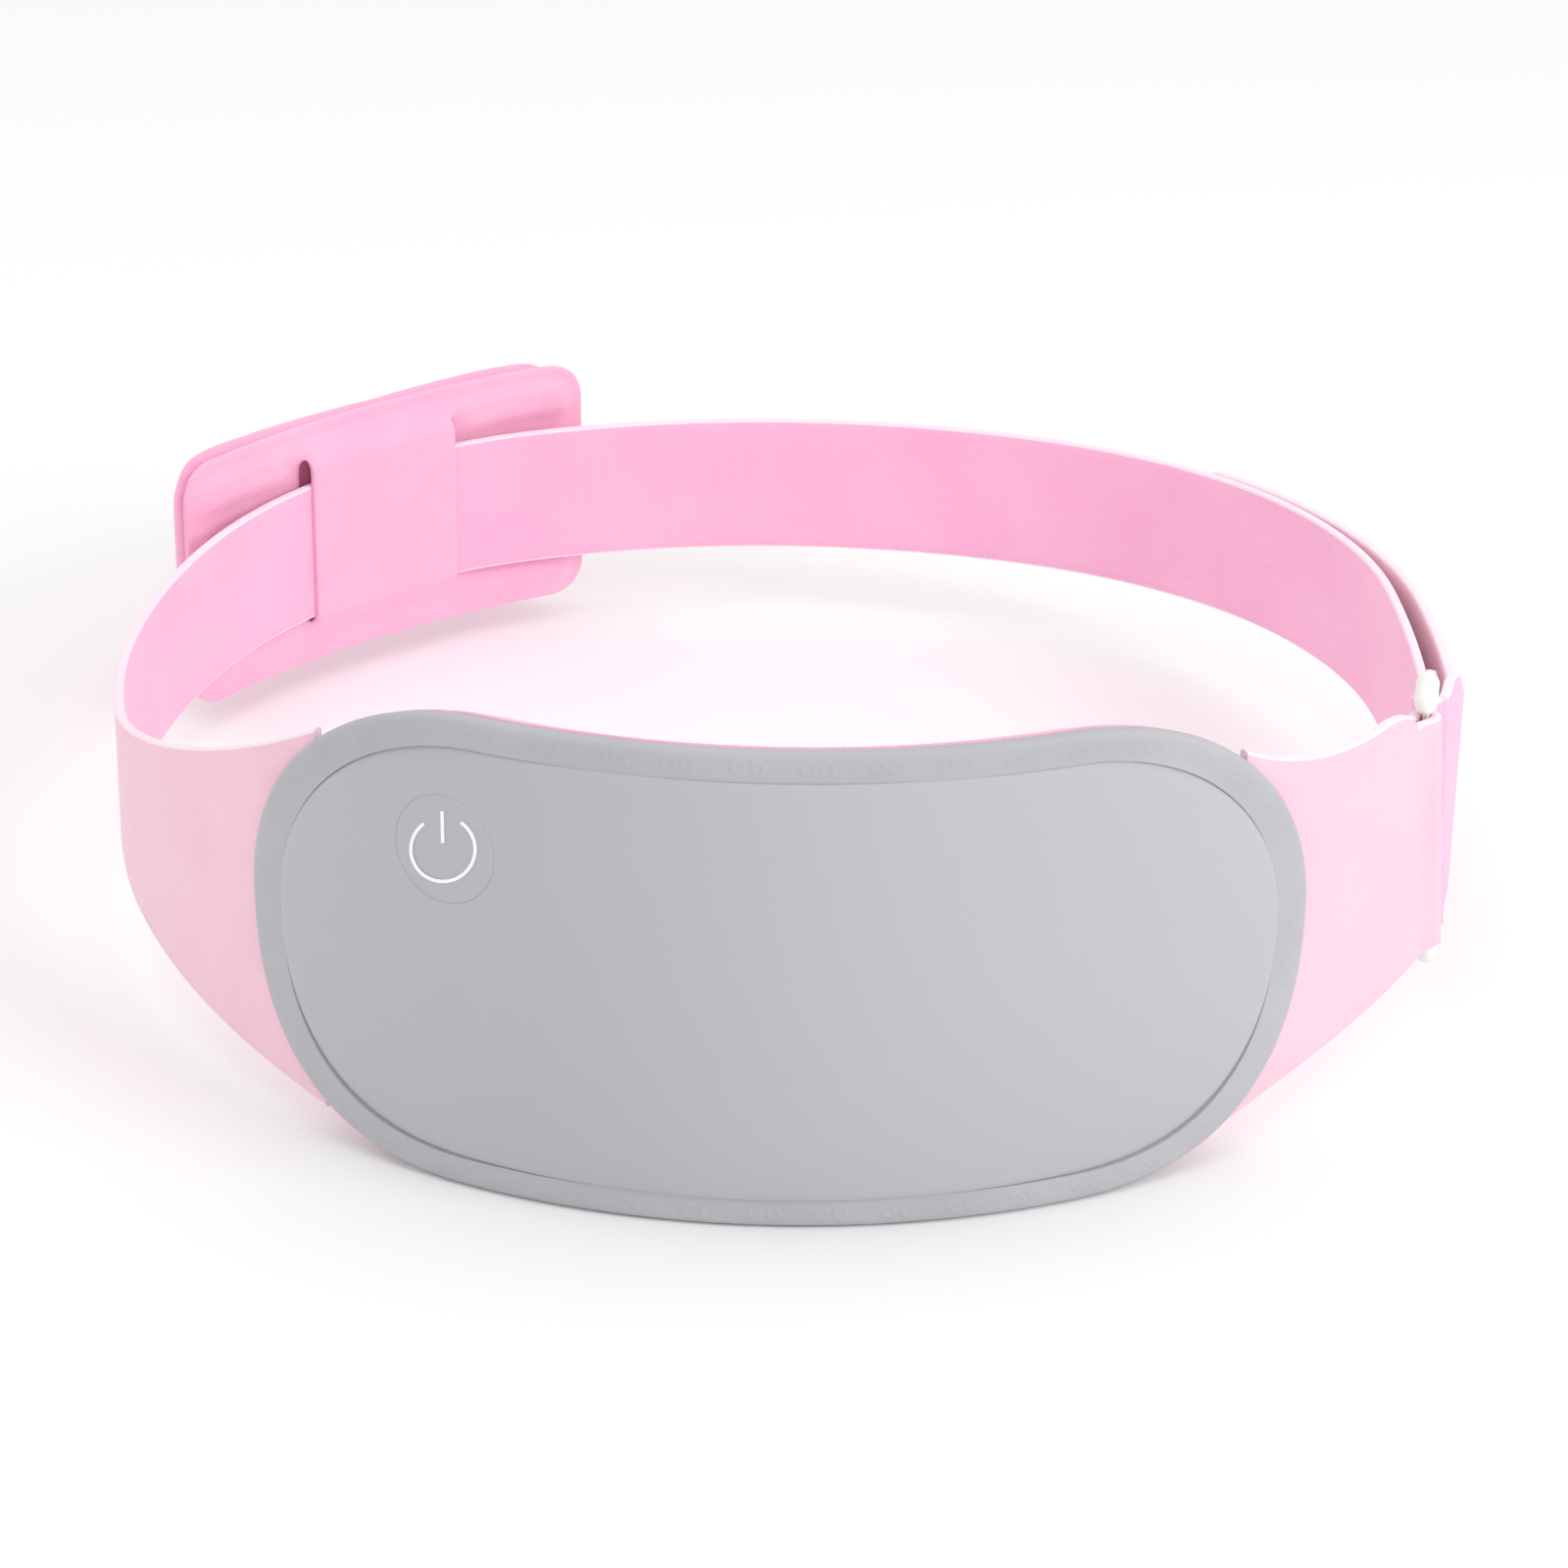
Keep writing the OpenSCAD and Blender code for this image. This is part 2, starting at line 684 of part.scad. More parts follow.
module strap_tail() {
    half = band_t / 2;
    thin = half - seam;
    wide = strap_w / 2 - seam;
    corner_z = wide - tail_tip_r;
    b = bend(tail_x, tail_side_r, tail_off);
    b_from = bend_from(b, tail_x, tail_side_r);
    tail_r = run_r(tail_x, 1);
    color("deeppink") union() {
        intersection() {
            translate([tail_x - tail_r, 0, 0]) arc_wall(tail_r - half, tail_r + half, 0, mask_h, -25, 0);
            band_prism(78, 98, ring_edges());
            band_prism(78, 98, [[peel_s + peel_gap, 40], [172, 40], [172, -40], [peel_s + peel_gap, -40]]);
        }
        translate([tail_x - tail_side_r, 0, strap_z]) arc_wall(
            tail_side_r - thin + seam, tail_side_r + thin - seam, seam - wide, wide - seam, -0.2, b_from + 0.2
        );
        translate([b[0], b[1], strap_z]) intersection() {
            arc_wall(b[2] - thin, b[2] + thin, -wide, wide, b_from, 65);
            union() {
                arc_wall(60, 100, -strap_w, strap_w, 0, join_a);
                rotate([0, 0, join_a]) translate([0, -2, -corner_z]) cube([100, tail_tip_r + 2, 2 * corner_z]);
                for (z = [-corner_z, corner_z]) rotate([0, 0, join_a]) translate([0, 0, z])
                    rotate([0, 90, 0]) cylinder(r = tail_tip_r, h = 100);
            }
        }
    }
}

module hook_patch() {
    b = bend(tail_x, tail_side_r, tail_off);
    outer = b[2] - band_t / 2;
    color("mediumvioletred") translate([b[0], b[1], 0])
        arc_wall(outer - hook_t, outer, strap_z - 9.5, strap_z + 9.5, hook_from, join_a);
}

// ---------- Head pad ----------

// Moves to the head pad: local X points outwards from its corner arc's centre
module pad_place() {
    translate([-corner_c, corner_c, strap_z]) rotate([0, 0, pad_phi]) children();
}

// A curved slab of the pad between two depths, with a rounded outline
module pad_slab(from, to, inset) {
    intersection() {
        translate([pad_in - pad_rho, 0, -40]) difference() {
            cylinder(r = pad_rho + to, h = 80);
            translate([0, 0, -1]) cylinder(r = pad_rho + from, h = 82);
        }
        translate([60, 0, pad_z]) rotate([90, 0, 90]) linear_extrude(40)
            rounded(pad_len - 2 * inset, pad_h - 2 * inset, 6 - inset / 2);
    }
}

module head_pad_lining() {
    half = ang(slit_gap / 2, corner_r);
    color("pink") pad_place() union() {
        difference() {
            pad_slab(0, lining_t, 0);
            translate([60, -slit_gap / 2, bridge_low]) cube([40, slit_gap, bridge_high - bridge_low]);
        }
        arc_wall(bridge_in, bridge_in + lining_t, bridge_low - lining_t, bridge_high + lining_t, -half, half);
        for (z = [bridge_low - lining_t, bridge_high]) arc_wall(
            bridge_in + seam, pad_in + 1, z + seam, z + lining_t - seam, seam - half, half - seam
        );
    }
}

module head_pad_core() {
    color("lightyellow") pad_place() difference() {
        pad_slab(lining_t - 2, pad_t - 1.2, 4);
        translate([pad_in - pad_rho, 0, -30]) cylinder(r = pad_rho + lining_t + 0.1, h = 60);
    }
}

module head_pad_cover() {
    color("hotpink") pad_place() difference() {
        union() {
            pad_slab(lining_t, lining_t + 3.4, 0);
            pad_slab(lining_t + 0.6, pad_t, 2.6);
        }
        pad_slab(lining_t - 1, pad_t - 1.1, 3.9);
    }
}

translate(shift) front_cover();
translate(shift) rim_band();
translate(shift) front_shell();
translate(shift) back_shell();
translate(shift) face_pad();
translate(shift) heater_left();
translate(shift) heater_right();
translate(shift) circuit_board();
translate(shift) tact_switch();
translate(shift) usb_port();
translate(shift) status_led();
translate(shift) battery();
translate(shift) motor_left();
translate(shift) motor_right();
translate(shift) shell_screws();
translate(shift) battery_lead();
translate(shift) motor_leads();
translate(shift) heater_leads();
translate(shift) left_wing();
translate(shift) right_wing();
translate(shift) rear_strap();
translate(shift) power_button();
translate(shift) power_mark();
translate(shift) switch_plunger();
translate(shift) eccentric_left();
translate(shift) eccentric_right();
translate(shift) strap_ring();
translate(shift) strap_tail();
translate(shift) hook_patch();
translate(shift) head_pad_lining();
translate(shift) head_pad_core();
translate(shift) head_pad_cover();
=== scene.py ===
"""Eye massager mask: the looks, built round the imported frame. Lengths are in millimetres until a mesh is made."""
import json
import math
import random

import bmesh
import bpy
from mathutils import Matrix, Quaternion, Vector, noise


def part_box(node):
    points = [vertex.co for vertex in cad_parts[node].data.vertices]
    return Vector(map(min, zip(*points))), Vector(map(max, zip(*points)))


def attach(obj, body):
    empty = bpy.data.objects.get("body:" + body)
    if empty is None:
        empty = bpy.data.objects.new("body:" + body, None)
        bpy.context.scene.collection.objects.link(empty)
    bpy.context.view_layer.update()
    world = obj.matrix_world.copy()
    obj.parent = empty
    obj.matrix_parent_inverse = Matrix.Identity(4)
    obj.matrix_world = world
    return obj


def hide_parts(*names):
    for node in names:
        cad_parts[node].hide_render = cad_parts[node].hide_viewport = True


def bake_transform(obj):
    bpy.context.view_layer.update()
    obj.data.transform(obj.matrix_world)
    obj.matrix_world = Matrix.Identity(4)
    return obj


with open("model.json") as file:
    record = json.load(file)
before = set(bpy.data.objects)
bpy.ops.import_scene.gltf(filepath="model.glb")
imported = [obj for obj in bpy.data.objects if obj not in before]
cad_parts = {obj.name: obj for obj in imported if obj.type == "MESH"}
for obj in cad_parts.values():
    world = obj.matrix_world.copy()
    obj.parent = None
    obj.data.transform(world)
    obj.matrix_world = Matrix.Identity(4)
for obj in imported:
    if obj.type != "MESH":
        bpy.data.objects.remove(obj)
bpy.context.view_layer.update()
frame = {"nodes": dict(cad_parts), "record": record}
random.seed(4)

MM = 0.001


def low(node, axis):
    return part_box(node)[0][axis] / MM


def high(node, axis):
    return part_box(node)[1][axis] / MM


# ---------- The loop's plan, read from the frame ----------

BAND_T = 1.5
LOOP_R = 100.0
FLAT_R = 130.0
CORNER_R = 80.0
DOME_OUT = 5.0
CENTRE_X = low("left_wing", 0) + LOOP_R + BAND_T / 2
CENTRE_Y = low("front_cover", 1) + LOOP_R + DOME_OUT
MASK_H = high("rim_band", 2)
MASK_Z = MASK_H / 2
MASK_HALF = 78.7
STRAP_Z = (low("hook_patch", 2) + high("hook_patch", 2)) / 2
STRAP_HALF = 11.7
FLAT_A = math.acos((FLAT_R - LOOP_R) / (FLAT_R - CORNER_R) / math.sqrt(2)) - math.pi / 4
CORNER_C = (FLAT_R - CORNER_R) * math.sin(FLAT_A)
SIDE_S = LOOP_R * math.pi / 2
CORNER_S = SIDE_S + FLAT_R * FLAT_A
REAR_S = CORNER_S + CORNER_R * (math.pi / 2 - 2 * FLAT_A)
HALF_S = REAR_S + FLAT_R * FLAT_A


def loop_at(s):
    """(x, y, normal x, normal y) on the loop's middle line, s along it from the front, positive to the right."""
    side = 1 if s >= 0 else -1
    s = abs(s)
    if s < SIDE_S:
        a = s / LOOP_R - math.pi / 2
        cx, cy, r = 0, 0, LOOP_R
    elif s < CORNER_S:
        a = (s - SIDE_S) / FLAT_R
        cx, cy, r = LOOP_R - FLAT_R, 0, FLAT_R
    elif s < REAR_S:
        a = FLAT_A + (s - CORNER_S) / CORNER_R
        cx, cy, r = CORNER_C, CORNER_C, CORNER_R
    else:
        a = math.pi / 2 - FLAT_A + (s - REAR_S) / FLAT_R
        cx, cy, r = 0, LOOP_R - FLAT_R, FLAT_R
    return side * (cx + r * math.cos(a)), cy + r * math.sin(a), side * math.cos(a), math.sin(a)


def smooth(x, a, b):
    """0 below a, 1 above b, and a smooth rise between."""
    t = min(1, max(0, (x - a) / (b - a)))
    return t * t * (3 - 2 * t)


def lean(a, b, c, t):
    """A point on a quadratic curve from a to c that leans on b."""
    return tuple((1 - t) ** 2 * p + 2 * t * (1 - t) * q + t * t * r for p, q, r in zip(a, b, c))


# ---------- Meshes ----------

def mesh_object(name, verts, faces, material_ids=None, shade=True):
    """An object from points in millimetres about the loop's centre, with Z from the floor."""
    mesh = bpy.data.meshes.new(name)
    mesh.from_pydata([((x + CENTRE_X) * MM, (y + CENTRE_Y) * MM, z * MM) for x, y, z in verts], [], faces)
    obj = bpy.data.objects.new(name, mesh)
    bpy.context.collection.objects.link(obj)
    bm = bmesh.new()
    bm.from_mesh(mesh)
    if material_ids:
        for face, material_id in zip(bm.faces, material_ids):
            face.material_index = material_id
    bmesh.ops.remove_doubles(bm, verts=bm.verts, dist=0.002 * MM)
    bmesh.ops.recalc_face_normals(bm, faces=bm.faces)
    bm.to_mesh(mesh)
    bm.free()
    if shade:
        mesh.shade_smooth()
        mesh.set_sharp_from_angle(angle=math.radians(42))
    return obj


def tube_grid(rings, wrap=False):
    """Faces over rings of equal length. wrap joins the last ring to the first."""
    n = len(rings[0])
    verts = [p for ring in rings for p in ring]
    faces = []
    count = len(rings) if wrap else len(rings) - 1
    for i in range(count):
        a = i * n
        b = ((i + 1) % len(rings)) * n
        for j in range(n):
            k = (j + 1) % n
            faces.append((a + j, a + k, b + k, b + j))
    return verts, faces


def ribbon(name, stations, materials, thick=BAND_T, columns=14):
    """A soft band. Each station is (column, low z, high z, thickness factor), where column gives
    (x, y, normal x, normal y) at a height. Its faces are 0 outside, 1 inside and 2 cut edge."""
    verts, faces, ids = [], [], []
    n = 2 * columns + 6
    for column, z0, z1, factor in stations:
        half = thick * factor / 2
        edge = min(0.45, (z1 - z0) / 5)
        ring = [(1, z0 + edge + (z1 - z0 - 2 * edge) * j / (columns - 1)) for j in range(columns)]
        ring += [(0.72, z1 - edge * 0.25), (0, z1), (-0.72, z1 - edge * 0.25)]
        ring += [(-1, z1 - edge - (z1 - z0 - 2 * edge) * j / (columns - 1)) for j in range(columns)]
        ring += [(-0.72, z0 + edge * 0.25), (0, z0), (0.72, z0 + edge * 0.25)]
        for out, z in ring:
            x, y, nx, ny = column(z)
            verts.append((x + nx * half * out, y + ny * half * out, z))
    for i in range(len(stations) - 1):
        for j in range(n):
            k = (j + 1) % n
            faces.append((i * n + j, i * n + k, (i + 1) * n + k, (i + 1) * n + j))
            # Face ids pick the band's painted-light copies of its cloth: 0 the outside painted lighter, 1 the inside
            # painted shade, 2 the cut edges painted highlight.
            if j < columns - 1:
                ids.append(0)
            elif columns + 2 < j < 2 * columns + 2:
                ids.append(1)
            else:
                ids.append(2)
    for i in (0, len(stations) - 1):
        for j in range(columns - 1):
            faces.append((i * n + j, i * n + j + 1, i * n + 2 * columns + 1 - j, i * n + 2 * columns + 2 - j))
            ids.append(2)
        top = [i * n + columns - 1 + k for k in range(5)]
        bottom = [i * n + 2 * columns + 2 + k for k in range(4)] + [i * n]
        faces += [tuple(top), tuple(bottom)]
        ids += [2, 2]
    obj = mesh_object(name, verts, faces, ids)
    for material in materials:
        obj.data.materials.append(material)
    return obj


# ---------- Materials ----------

def material(name, colour, rough=0.6, **sockets):
    mat = bpy.data.materials.new(name)
    mat.use_nodes = True
    shader = mat.node_tree.nodes["Principled BSDF"]
    shader.inputs["Base Color"].default_value = (*colour, 1)
    shader.inputs["Roughness"].default_value = rough
    for key, value in sockets.items():
        shader.inputs[key.replace("_", " ")].default_value = value
    return mat


def node(mat, kind, **values):
    made = mat.node_tree.nodes.new(kind)
    for key, value in values.items():
        if key in made.inputs:
            made.inputs[key].default_value = value
        else:
            setattr(made, key, value)
    return made


def link(mat, a, b):
    mat.node_tree.links.new(a, b)


def vary(mat, colour, other, scale, detail=3.0, low_stop=0.35, high_stop=0.65):
    """Mixes two colours by soft noise."""
    coords = node(mat, "ShaderNodeTexCoord")
    spots = node(mat, "ShaderNodeTexNoise", Scale=scale, Detail=detail)
    ramp = node(mat, "ShaderNodeValToRGB")
    ramp.color_ramp.elements[0].position = low_stop
    ramp.color_ramp.elements[0].color = (*colour, 1)
    ramp.color_ramp.elements[1].position = high_stop
    ramp.color_ramp.elements[1].color = (*other, 1)
    link(mat, coords.outputs["Object"], spots.inputs["Vector"])
    link(mat, spots.outputs["Fac"], ramp.inputs["Fac"])
    link(mat, ramp.outputs["Color"], mat.node_tree.nodes["Principled BSDF"].inputs["Base Color"])
    return coords


def bump(mat, height, strength, distance=0.0002):
    made = node(mat, "ShaderNodeBump", Strength=strength, Distance=distance)
    link(mat, height, made.inputs["Height"])
    link(mat, made.outputs["Normal"], mat.node_tree.nodes["Principled BSDF"].inputs["Normal"])


def knit(name, colour, other, pitch=0.55, strength=0.35, rough=0.85, sheen=0.35):
    """Soft bonded knit: fine upright ribs crossed by rows, over a faint mottle."""
    mat = material(name, colour, rough, Sheen_Weight=sheen, Sheen_Roughness=0.5)
    coords = vary(mat, colour, other, 60)
    flat = node(mat, "ShaderNodeSeparateXYZ")
    angle = node(mat, "ShaderNodeMath", operation="ARCTAN2")
    around = node(mat, "ShaderNodeMath", operation="MULTIPLY")
    around.inputs[1].default_value = 0.1
    rows = node(mat, "ShaderNodeCombineXYZ")
    link(mat, coords.outputs["Object"], flat.inputs[0])
    link(mat, flat.outputs["X"], angle.inputs[0])
    link(mat, flat.outputs["Y"], angle.inputs[1])
    link(mat, angle.outputs[0], around.inputs[0])
    link(mat, around.outputs[0], rows.inputs["X"])
    link(mat, flat.outputs["Z"], rows.inputs["Y"])
    ribs = node(mat, "ShaderNodeTexWave", Scale=0.314 / (pitch * MM), Distortion=0.6, Detail=1.0)
    ribs.inputs["Detail Scale"].default_value = 2.0
    courses = node(mat, "ShaderNodeTexWave", Scale=0.314 / (pitch * 0.8 * MM), Distortion=0.6, Detail=1.0)
    courses.bands_direction = "Y"
    link(mat, rows.outputs[0], ribs.inputs["Vector"])
    link(mat, rows.outputs[0], courses.inputs["Vector"])
    both = node(mat, "ShaderNodeMath", operation="MULTIPLY")
    link(mat, ribs.outputs["Fac"], both.inputs[0])
    link(mat, courses.outputs["Fac"], both.inputs[1])
    bump(mat, both.outputs[0], strength, 0.00012)
    return mat


def grained(name, colour, other, scale=900, strength=0.2, rough=0.5, mottle=40, **sockets):
    """A skin or moulded plastic with a fine grain and a faint mottle."""
    mat = material(name, colour, rough, **sockets)
    coords = vary(mat, colour, other, mottle)
    grain = node(mat, "ShaderNodeTexNoise", Scale=scale, Detail=2.0)
    link(mat, coords.outputs["Object"], grain.inputs["Vector"])
    bump(mat, grain.outputs["Fac"], strength, 0.00008)
    return mat


# The band's cloth is one knit in three copies coloured by how light falls: the outside face is painted lighter as
# painted light, the inside face is painted darker as painted shade, and the cut edges are painted near white as a
# painted highlight.
PINK_OUT_PAINTED_LIT = knit("cloth_outside_painted_lit", (0.90, 0.55, 0.66), (0.92, 0.58, 0.69))
PINK_IN_PAINTED_SHADE = knit("cloth_inside_painted_shade", (0.95, 0.47, 0.68), (0.97, 0.51, 0.71))
PINK_EDGE_PAINTED_HIGHLIGHT = grained("cloth_edge_painted_highlight", (0.96, 0.76, 0.85), (0.98, 0.80, 0.88), 1500, 0.3, 0.8)
PAD_CLOTH = knit("pad_cloth", (0.95, 0.40, 0.62), (0.97, 0.44, 0.66))
PAD_FACE = knit("pad_face", (0.96, 0.47, 0.67), (0.98, 0.51, 0.70))
FACE_CLOTH = knit("face_cloth", (0.90, 0.52, 0.66), (0.93, 0.56, 0.69), 0.7, 0.5)
COVER = grained("cover_skin", (0.46, 0.455, 0.485), (0.48, 0.475, 0.505), 700, 0.1, 0.4, 12)
RIM = grained("rim_edging", (0.44, 0.44, 0.465), (0.47, 0.47, 0.495), 900, 0.25, 0.6, 60)
MARK = grained("printed_mark", (0.95, 0.95, 0.97), (1, 1, 1), 800, 0.05, 0.5)
RING = grained("moulded_white", (0.84, 0.88, 0.80), (0.88, 0.92, 0.85), 500, 0.1, 0.35)
HOOKS = grained("hook_tape", (0.86, 0.36, 0.52), (0.92, 0.45, 0.6), 2200, 1.0, 0.9)

INNER = {
    "shell": grained("shell_plastic", (0.72, 0.72, 0.73), (0.76, 0.76, 0.77), 1200, 0.25, 0.5),
    "heater_film": grained("heater_film", (0.70, 0.30, 0.06), (0.76, 0.35, 0.08), 400, 0.1, 0.35),
    "board": grained("board", (0.02, 0.16, 0.06), (0.03, 0.2, 0.08), 900, 0.1, 0.35),
    "switch": grained("switch_black", (0.02, 0.02, 0.02), (0.03, 0.03, 0.03), 900, 0.1, 0.4),
    "socket": grained("socket_steel", (0.62, 0.62, 0.64), (0.68, 0.68, 0.7), 900, 0.1, 0.3, Metallic=1.0),
    "led": grained("led_resin", (0.9, 0.9, 0.86), (0.94, 0.94, 0.9), 500, 0.05, 0.2),
    "cell": grained("cell_foil", (0.55, 0.57, 0.6), (0.62, 0.64, 0.67), 500, 0.15, 0.35, Metallic=0.8),
    "motor_can": grained("motor_can", (0.5, 0.5, 0.52), (0.56, 0.56, 0.58), 900, 0.1, 0.3, Metallic=1.0),
    "screws": grained("screw_steel", (0.46, 0.46, 0.48), (0.52, 0.52, 0.54), 900, 0.1, 0.35, Metallic=1.0),
    "wire": grained("wire_skin", (0.5, 0.03, 0.03), (0.56, 0.04, 0.04), 900, 0.1, 0.45),
    "plunger": grained("plunger_black", (0.03, 0.03, 0.03), (0.05, 0.05, 0.05), 900, 0.1, 0.45),
    "weight": grained("weight_brass", (0.6, 0.42, 0.16), (0.66, 0.48, 0.2), 900, 0.1, 0.3, Metallic=1.0),
    "foam": grained("foam", (0.85, 0.78, 0.55), (0.9, 0.83, 0.62), 1500, 0.6, 0.9),
    "cover_skin": COVER,
    "rim": RIM,
    "mark": MARK,
    "ring": RING,
    "hooks": HOOKS,
    "wing_cloth": PINK_OUT_PAINTED_LIT,
    "strap_cloth": PINK_IN_PAINTED_SHADE,
    "pad_cloth": PAD_CLOTH,
    "face_foam": FACE_CLOTH,
}
slot_of = {part["node"]: part["material_slot"] for part in frame["record"]["subparts"]}
for name, obj in frame["nodes"].items():
    obj.data.materials.clear()
    obj.data.materials.append(INNER[slot_of[name]])


# ---------- The front module ----------

CORNER_FROM = 40
TOP_POWER = 1.9
BOTTOM_POWER = 2.5
FACE_R = LOOP_R + 1
RIM_W = 4.2
RIM_END_W = 6.2
DOME_SHIFT = 8
DOME_PLAN_R = LOOP_R + DOME_OUT - DOME_SHIFT
DOME_RHO = 241


def outline(inset_end, inset_high, steps=200):
    """The module's outline as (length along the curve, height about its middle), evenly spaced, anticlockwise."""
    end = MASK_HALF - inset_end
    top = MASK_H / 2 - inset_high
    dense = []
    for quarter in range(4):
        power = TOP_POWER if quarter < 2 else BOTTOM_POWER
        for i in range(200):
            t = math.pi / 2 * (quarter + i / 200)
            c, s = math.cos(t), math.sin(t)
            x = CORNER_FROM + (end - CORNER_FROM) * abs(c) ** (2 / power)
            dense.append((math.copysign(x, c), top * math.copysign(abs(s) ** (2 / power), s)))
    lengths = [0]
    for a, b in zip(dense, dense[1:] + dense[:1]):
        lengths.append(lengths[-1] + math.dist(a, b))
    points = []
    k = 0
    for i in range(steps):
        want = lengths[-1] * i / steps
        while lengths[k + 1] < want:
            k += 1
        t = (want - lengths[k]) / (lengths[k + 1] - lengths[k])
        a, b = dense[k], dense[(k + 1) % len(dense)]
        points.append((a[0] + (b[0] - a[0]) * t, a[1] + (b[1] - a[1]) * t))
    return points


def dome_radius(s, z):
    """Distance of the cover's face from the loop's axis, at a length along the curve and a height."""
    a = s / FACE_R
    plan = DOME_PLAN_R - DOME_RHO + math.sqrt(DOME_RHO ** 2 - z ** 2)
    return DOME_SHIFT * math.cos(a) + math.sqrt(plan ** 2 - (DOME_SHIFT * math.sin(a)) ** 2)


def on_face(s, z, r):
    """A point at a length along the curve, a height about the module's middle and a distance from the axis."""
    a = s / FACE_R
    return r * math.sin(a), -r * math.cos(a), MASK_Z + z


BOARD_A = math.radians(-23.5)
BUTTON_R = 7.5
BUTTON_OFF = 101.4 * math.sin(math.radians(-1.3))
BUTTON_Z = STRAP_Z + 26.8


def button_point(radius, turn):
    """(length, height) on the cover of a point on a circle about the button, seen along the board's normal."""
    across = BUTTON_OFF + radius * math.cos(turn)
    z = BUTTON_Z + radius * math.sin(turn) - MASK_Z
    r = 103.6
    for _ in range(6):
        along = math.sqrt(r * r - across * across)
        a = BOARD_A + math.atan2(across, along)
        r = dome_radius(a * FACE_R, z)
    return a * FACE_R, z


def cover_panel():
    """The soft grey cover, with a round way through it for the button."""
    count = 240
    edge = outline(RIM_END_W, RIM_W, count)
    centre_s, centre_z = button_point(0, 0)
    start = min(range(count), key=lambda i: abs(math.atan2(edge[i][1] - centre_z, edge[i][0] - centre_s)))
    edge = edge[start:] + edge[:start]
    rings = []
    hole = []
    for s, z in edge:
        hole.append(button_point(BUTTON_R + 0.03, math.atan2(z - centre_z, s - centre_s)))
    near = outline(RIM_END_W + 3.2, RIM_W + 3.2, count)
    near = near[start:] + near[:start]
    rings.append([on_face(s, z, dome_radius(s, z) - 1.1) for s, z in hole])
    rings.append([on_face(s, z, dome_radius(s, z) - 0.1) for s, z in hole])
    steps = 44
    for i in range(steps + 1):
        t = i / steps
        t = t * (0.55 + 0.45 * t)
        ring = []
        for (s0, z0), (s1, z1) in zip(hole, near):
            s, z = s0 + (s1 - s0) * t, z0 + (z1 - z0) * t
            ring.append(on_face(s, z, dome_radius(s, z)))
        rings.append(ring)
    for share, drop in ((0.35, 0.01), (0.6, 0.05), (0.78, 0.12), (0.9, 0.24), (0.97, 0.36), (1.0, 0.48)):
        ring = []
        for (s0, z0), (s1, z1) in zip(near, edge):
            s, z = s0 + (s1 - s0) * share, z0 + (z1 - z0) * share
            ring.append(on_face(s, z, dome_radius(s, z) - drop * smooth(dome_radius(s1, z1), 100.9, 102.6)))
        rings.append(ring)
    rings.append([on_face(s, z, dome_radius(s, z) - 1.6) for s, z in edge])
    for i in range(steps, -1, -4):
        t = i / steps
        t = t * (0.55 + 0.45 * t)
        rings.append([
            on_face(s0 + (s1 - s0) * t, z0 + (z1 - z0) * t, dome_radius(s0 + (s1 - s0) * t, z0 + (z1 - z0) * t) - 1.2)
            for (s0, z0), (s1, z1) in zip(hole, near)
        ])
    verts, faces = tube_grid(rings, wrap=True)
    obj = mesh_object("cover_skin_panel", verts, faces)
    obj.data.materials.append(COVER)
    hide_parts("front_cover")
    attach(obj, "module")
    return obj


def button_cap():
    """The patch of the cover over the switch, which presses in."""
    count = 96
    rings = []
    for radius, drop in ((0.01, 0), (1.5, 0), (3, 0), (4.5, 0), (6, 0), (7, 0), (7.45, 0), (7.5, 0.02), (7.5, 1.1)):
        ring = []
        for i in range(count):
            s, z = button_point(radius, 2 * math.pi * i / count)
            ring.append(on_face(s, z, dome_radius(s, z) - drop))
        rings.append(ring)
    for radius in (6, 3, 0.01):
        ring = []
        for i in range(count):
            s, z = button_point(radius, 2 * math.pi * i / count)
            ring.append(on_face(s, z, dome_radius(s, z) - 1.15))
        rings.append(ring)
    verts, faces = tube_grid(rings)
    faces += [tuple(range(count)), tuple(range(len(verts) - count, len(verts)))]
    obj = mesh_object("button_skin", verts, faces)
    obj.data.materials.append(COVER)
    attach(obj, "button")
    # The stem under the patch, down to the switch
    rings = []
    for depth, radius in ((98.6, 2.2), (98.8, 2.45), (99.2, 2.5), (101.8, 2.5), (102.6, 3.2)):
        ring = []
        for i in range(40):
            turn = 2 * math.pi * i / 40
            across = BUTTON_OFF + radius * math.cos(turn)
            x = depth * math.sin(BOARD_A) + across * math.cos(BOARD_A)
            y = -depth * math.cos(BOARD_A) + across * math.sin(BOARD_A)
            ring.append((x, y, BUTTON_Z + radius * math.sin(turn)))
        rings.append(ring)
    verts, faces = tube_grid(rings)
    faces += [tuple(range(40)), tuple(range(len(verts) - 40, len(verts)))]
    stem = mesh_object("button_stem", verts, faces)
    stem.data.materials.append(INNER["shell"])
    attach(stem, "button")
    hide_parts("power_button")
    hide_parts("power_button")


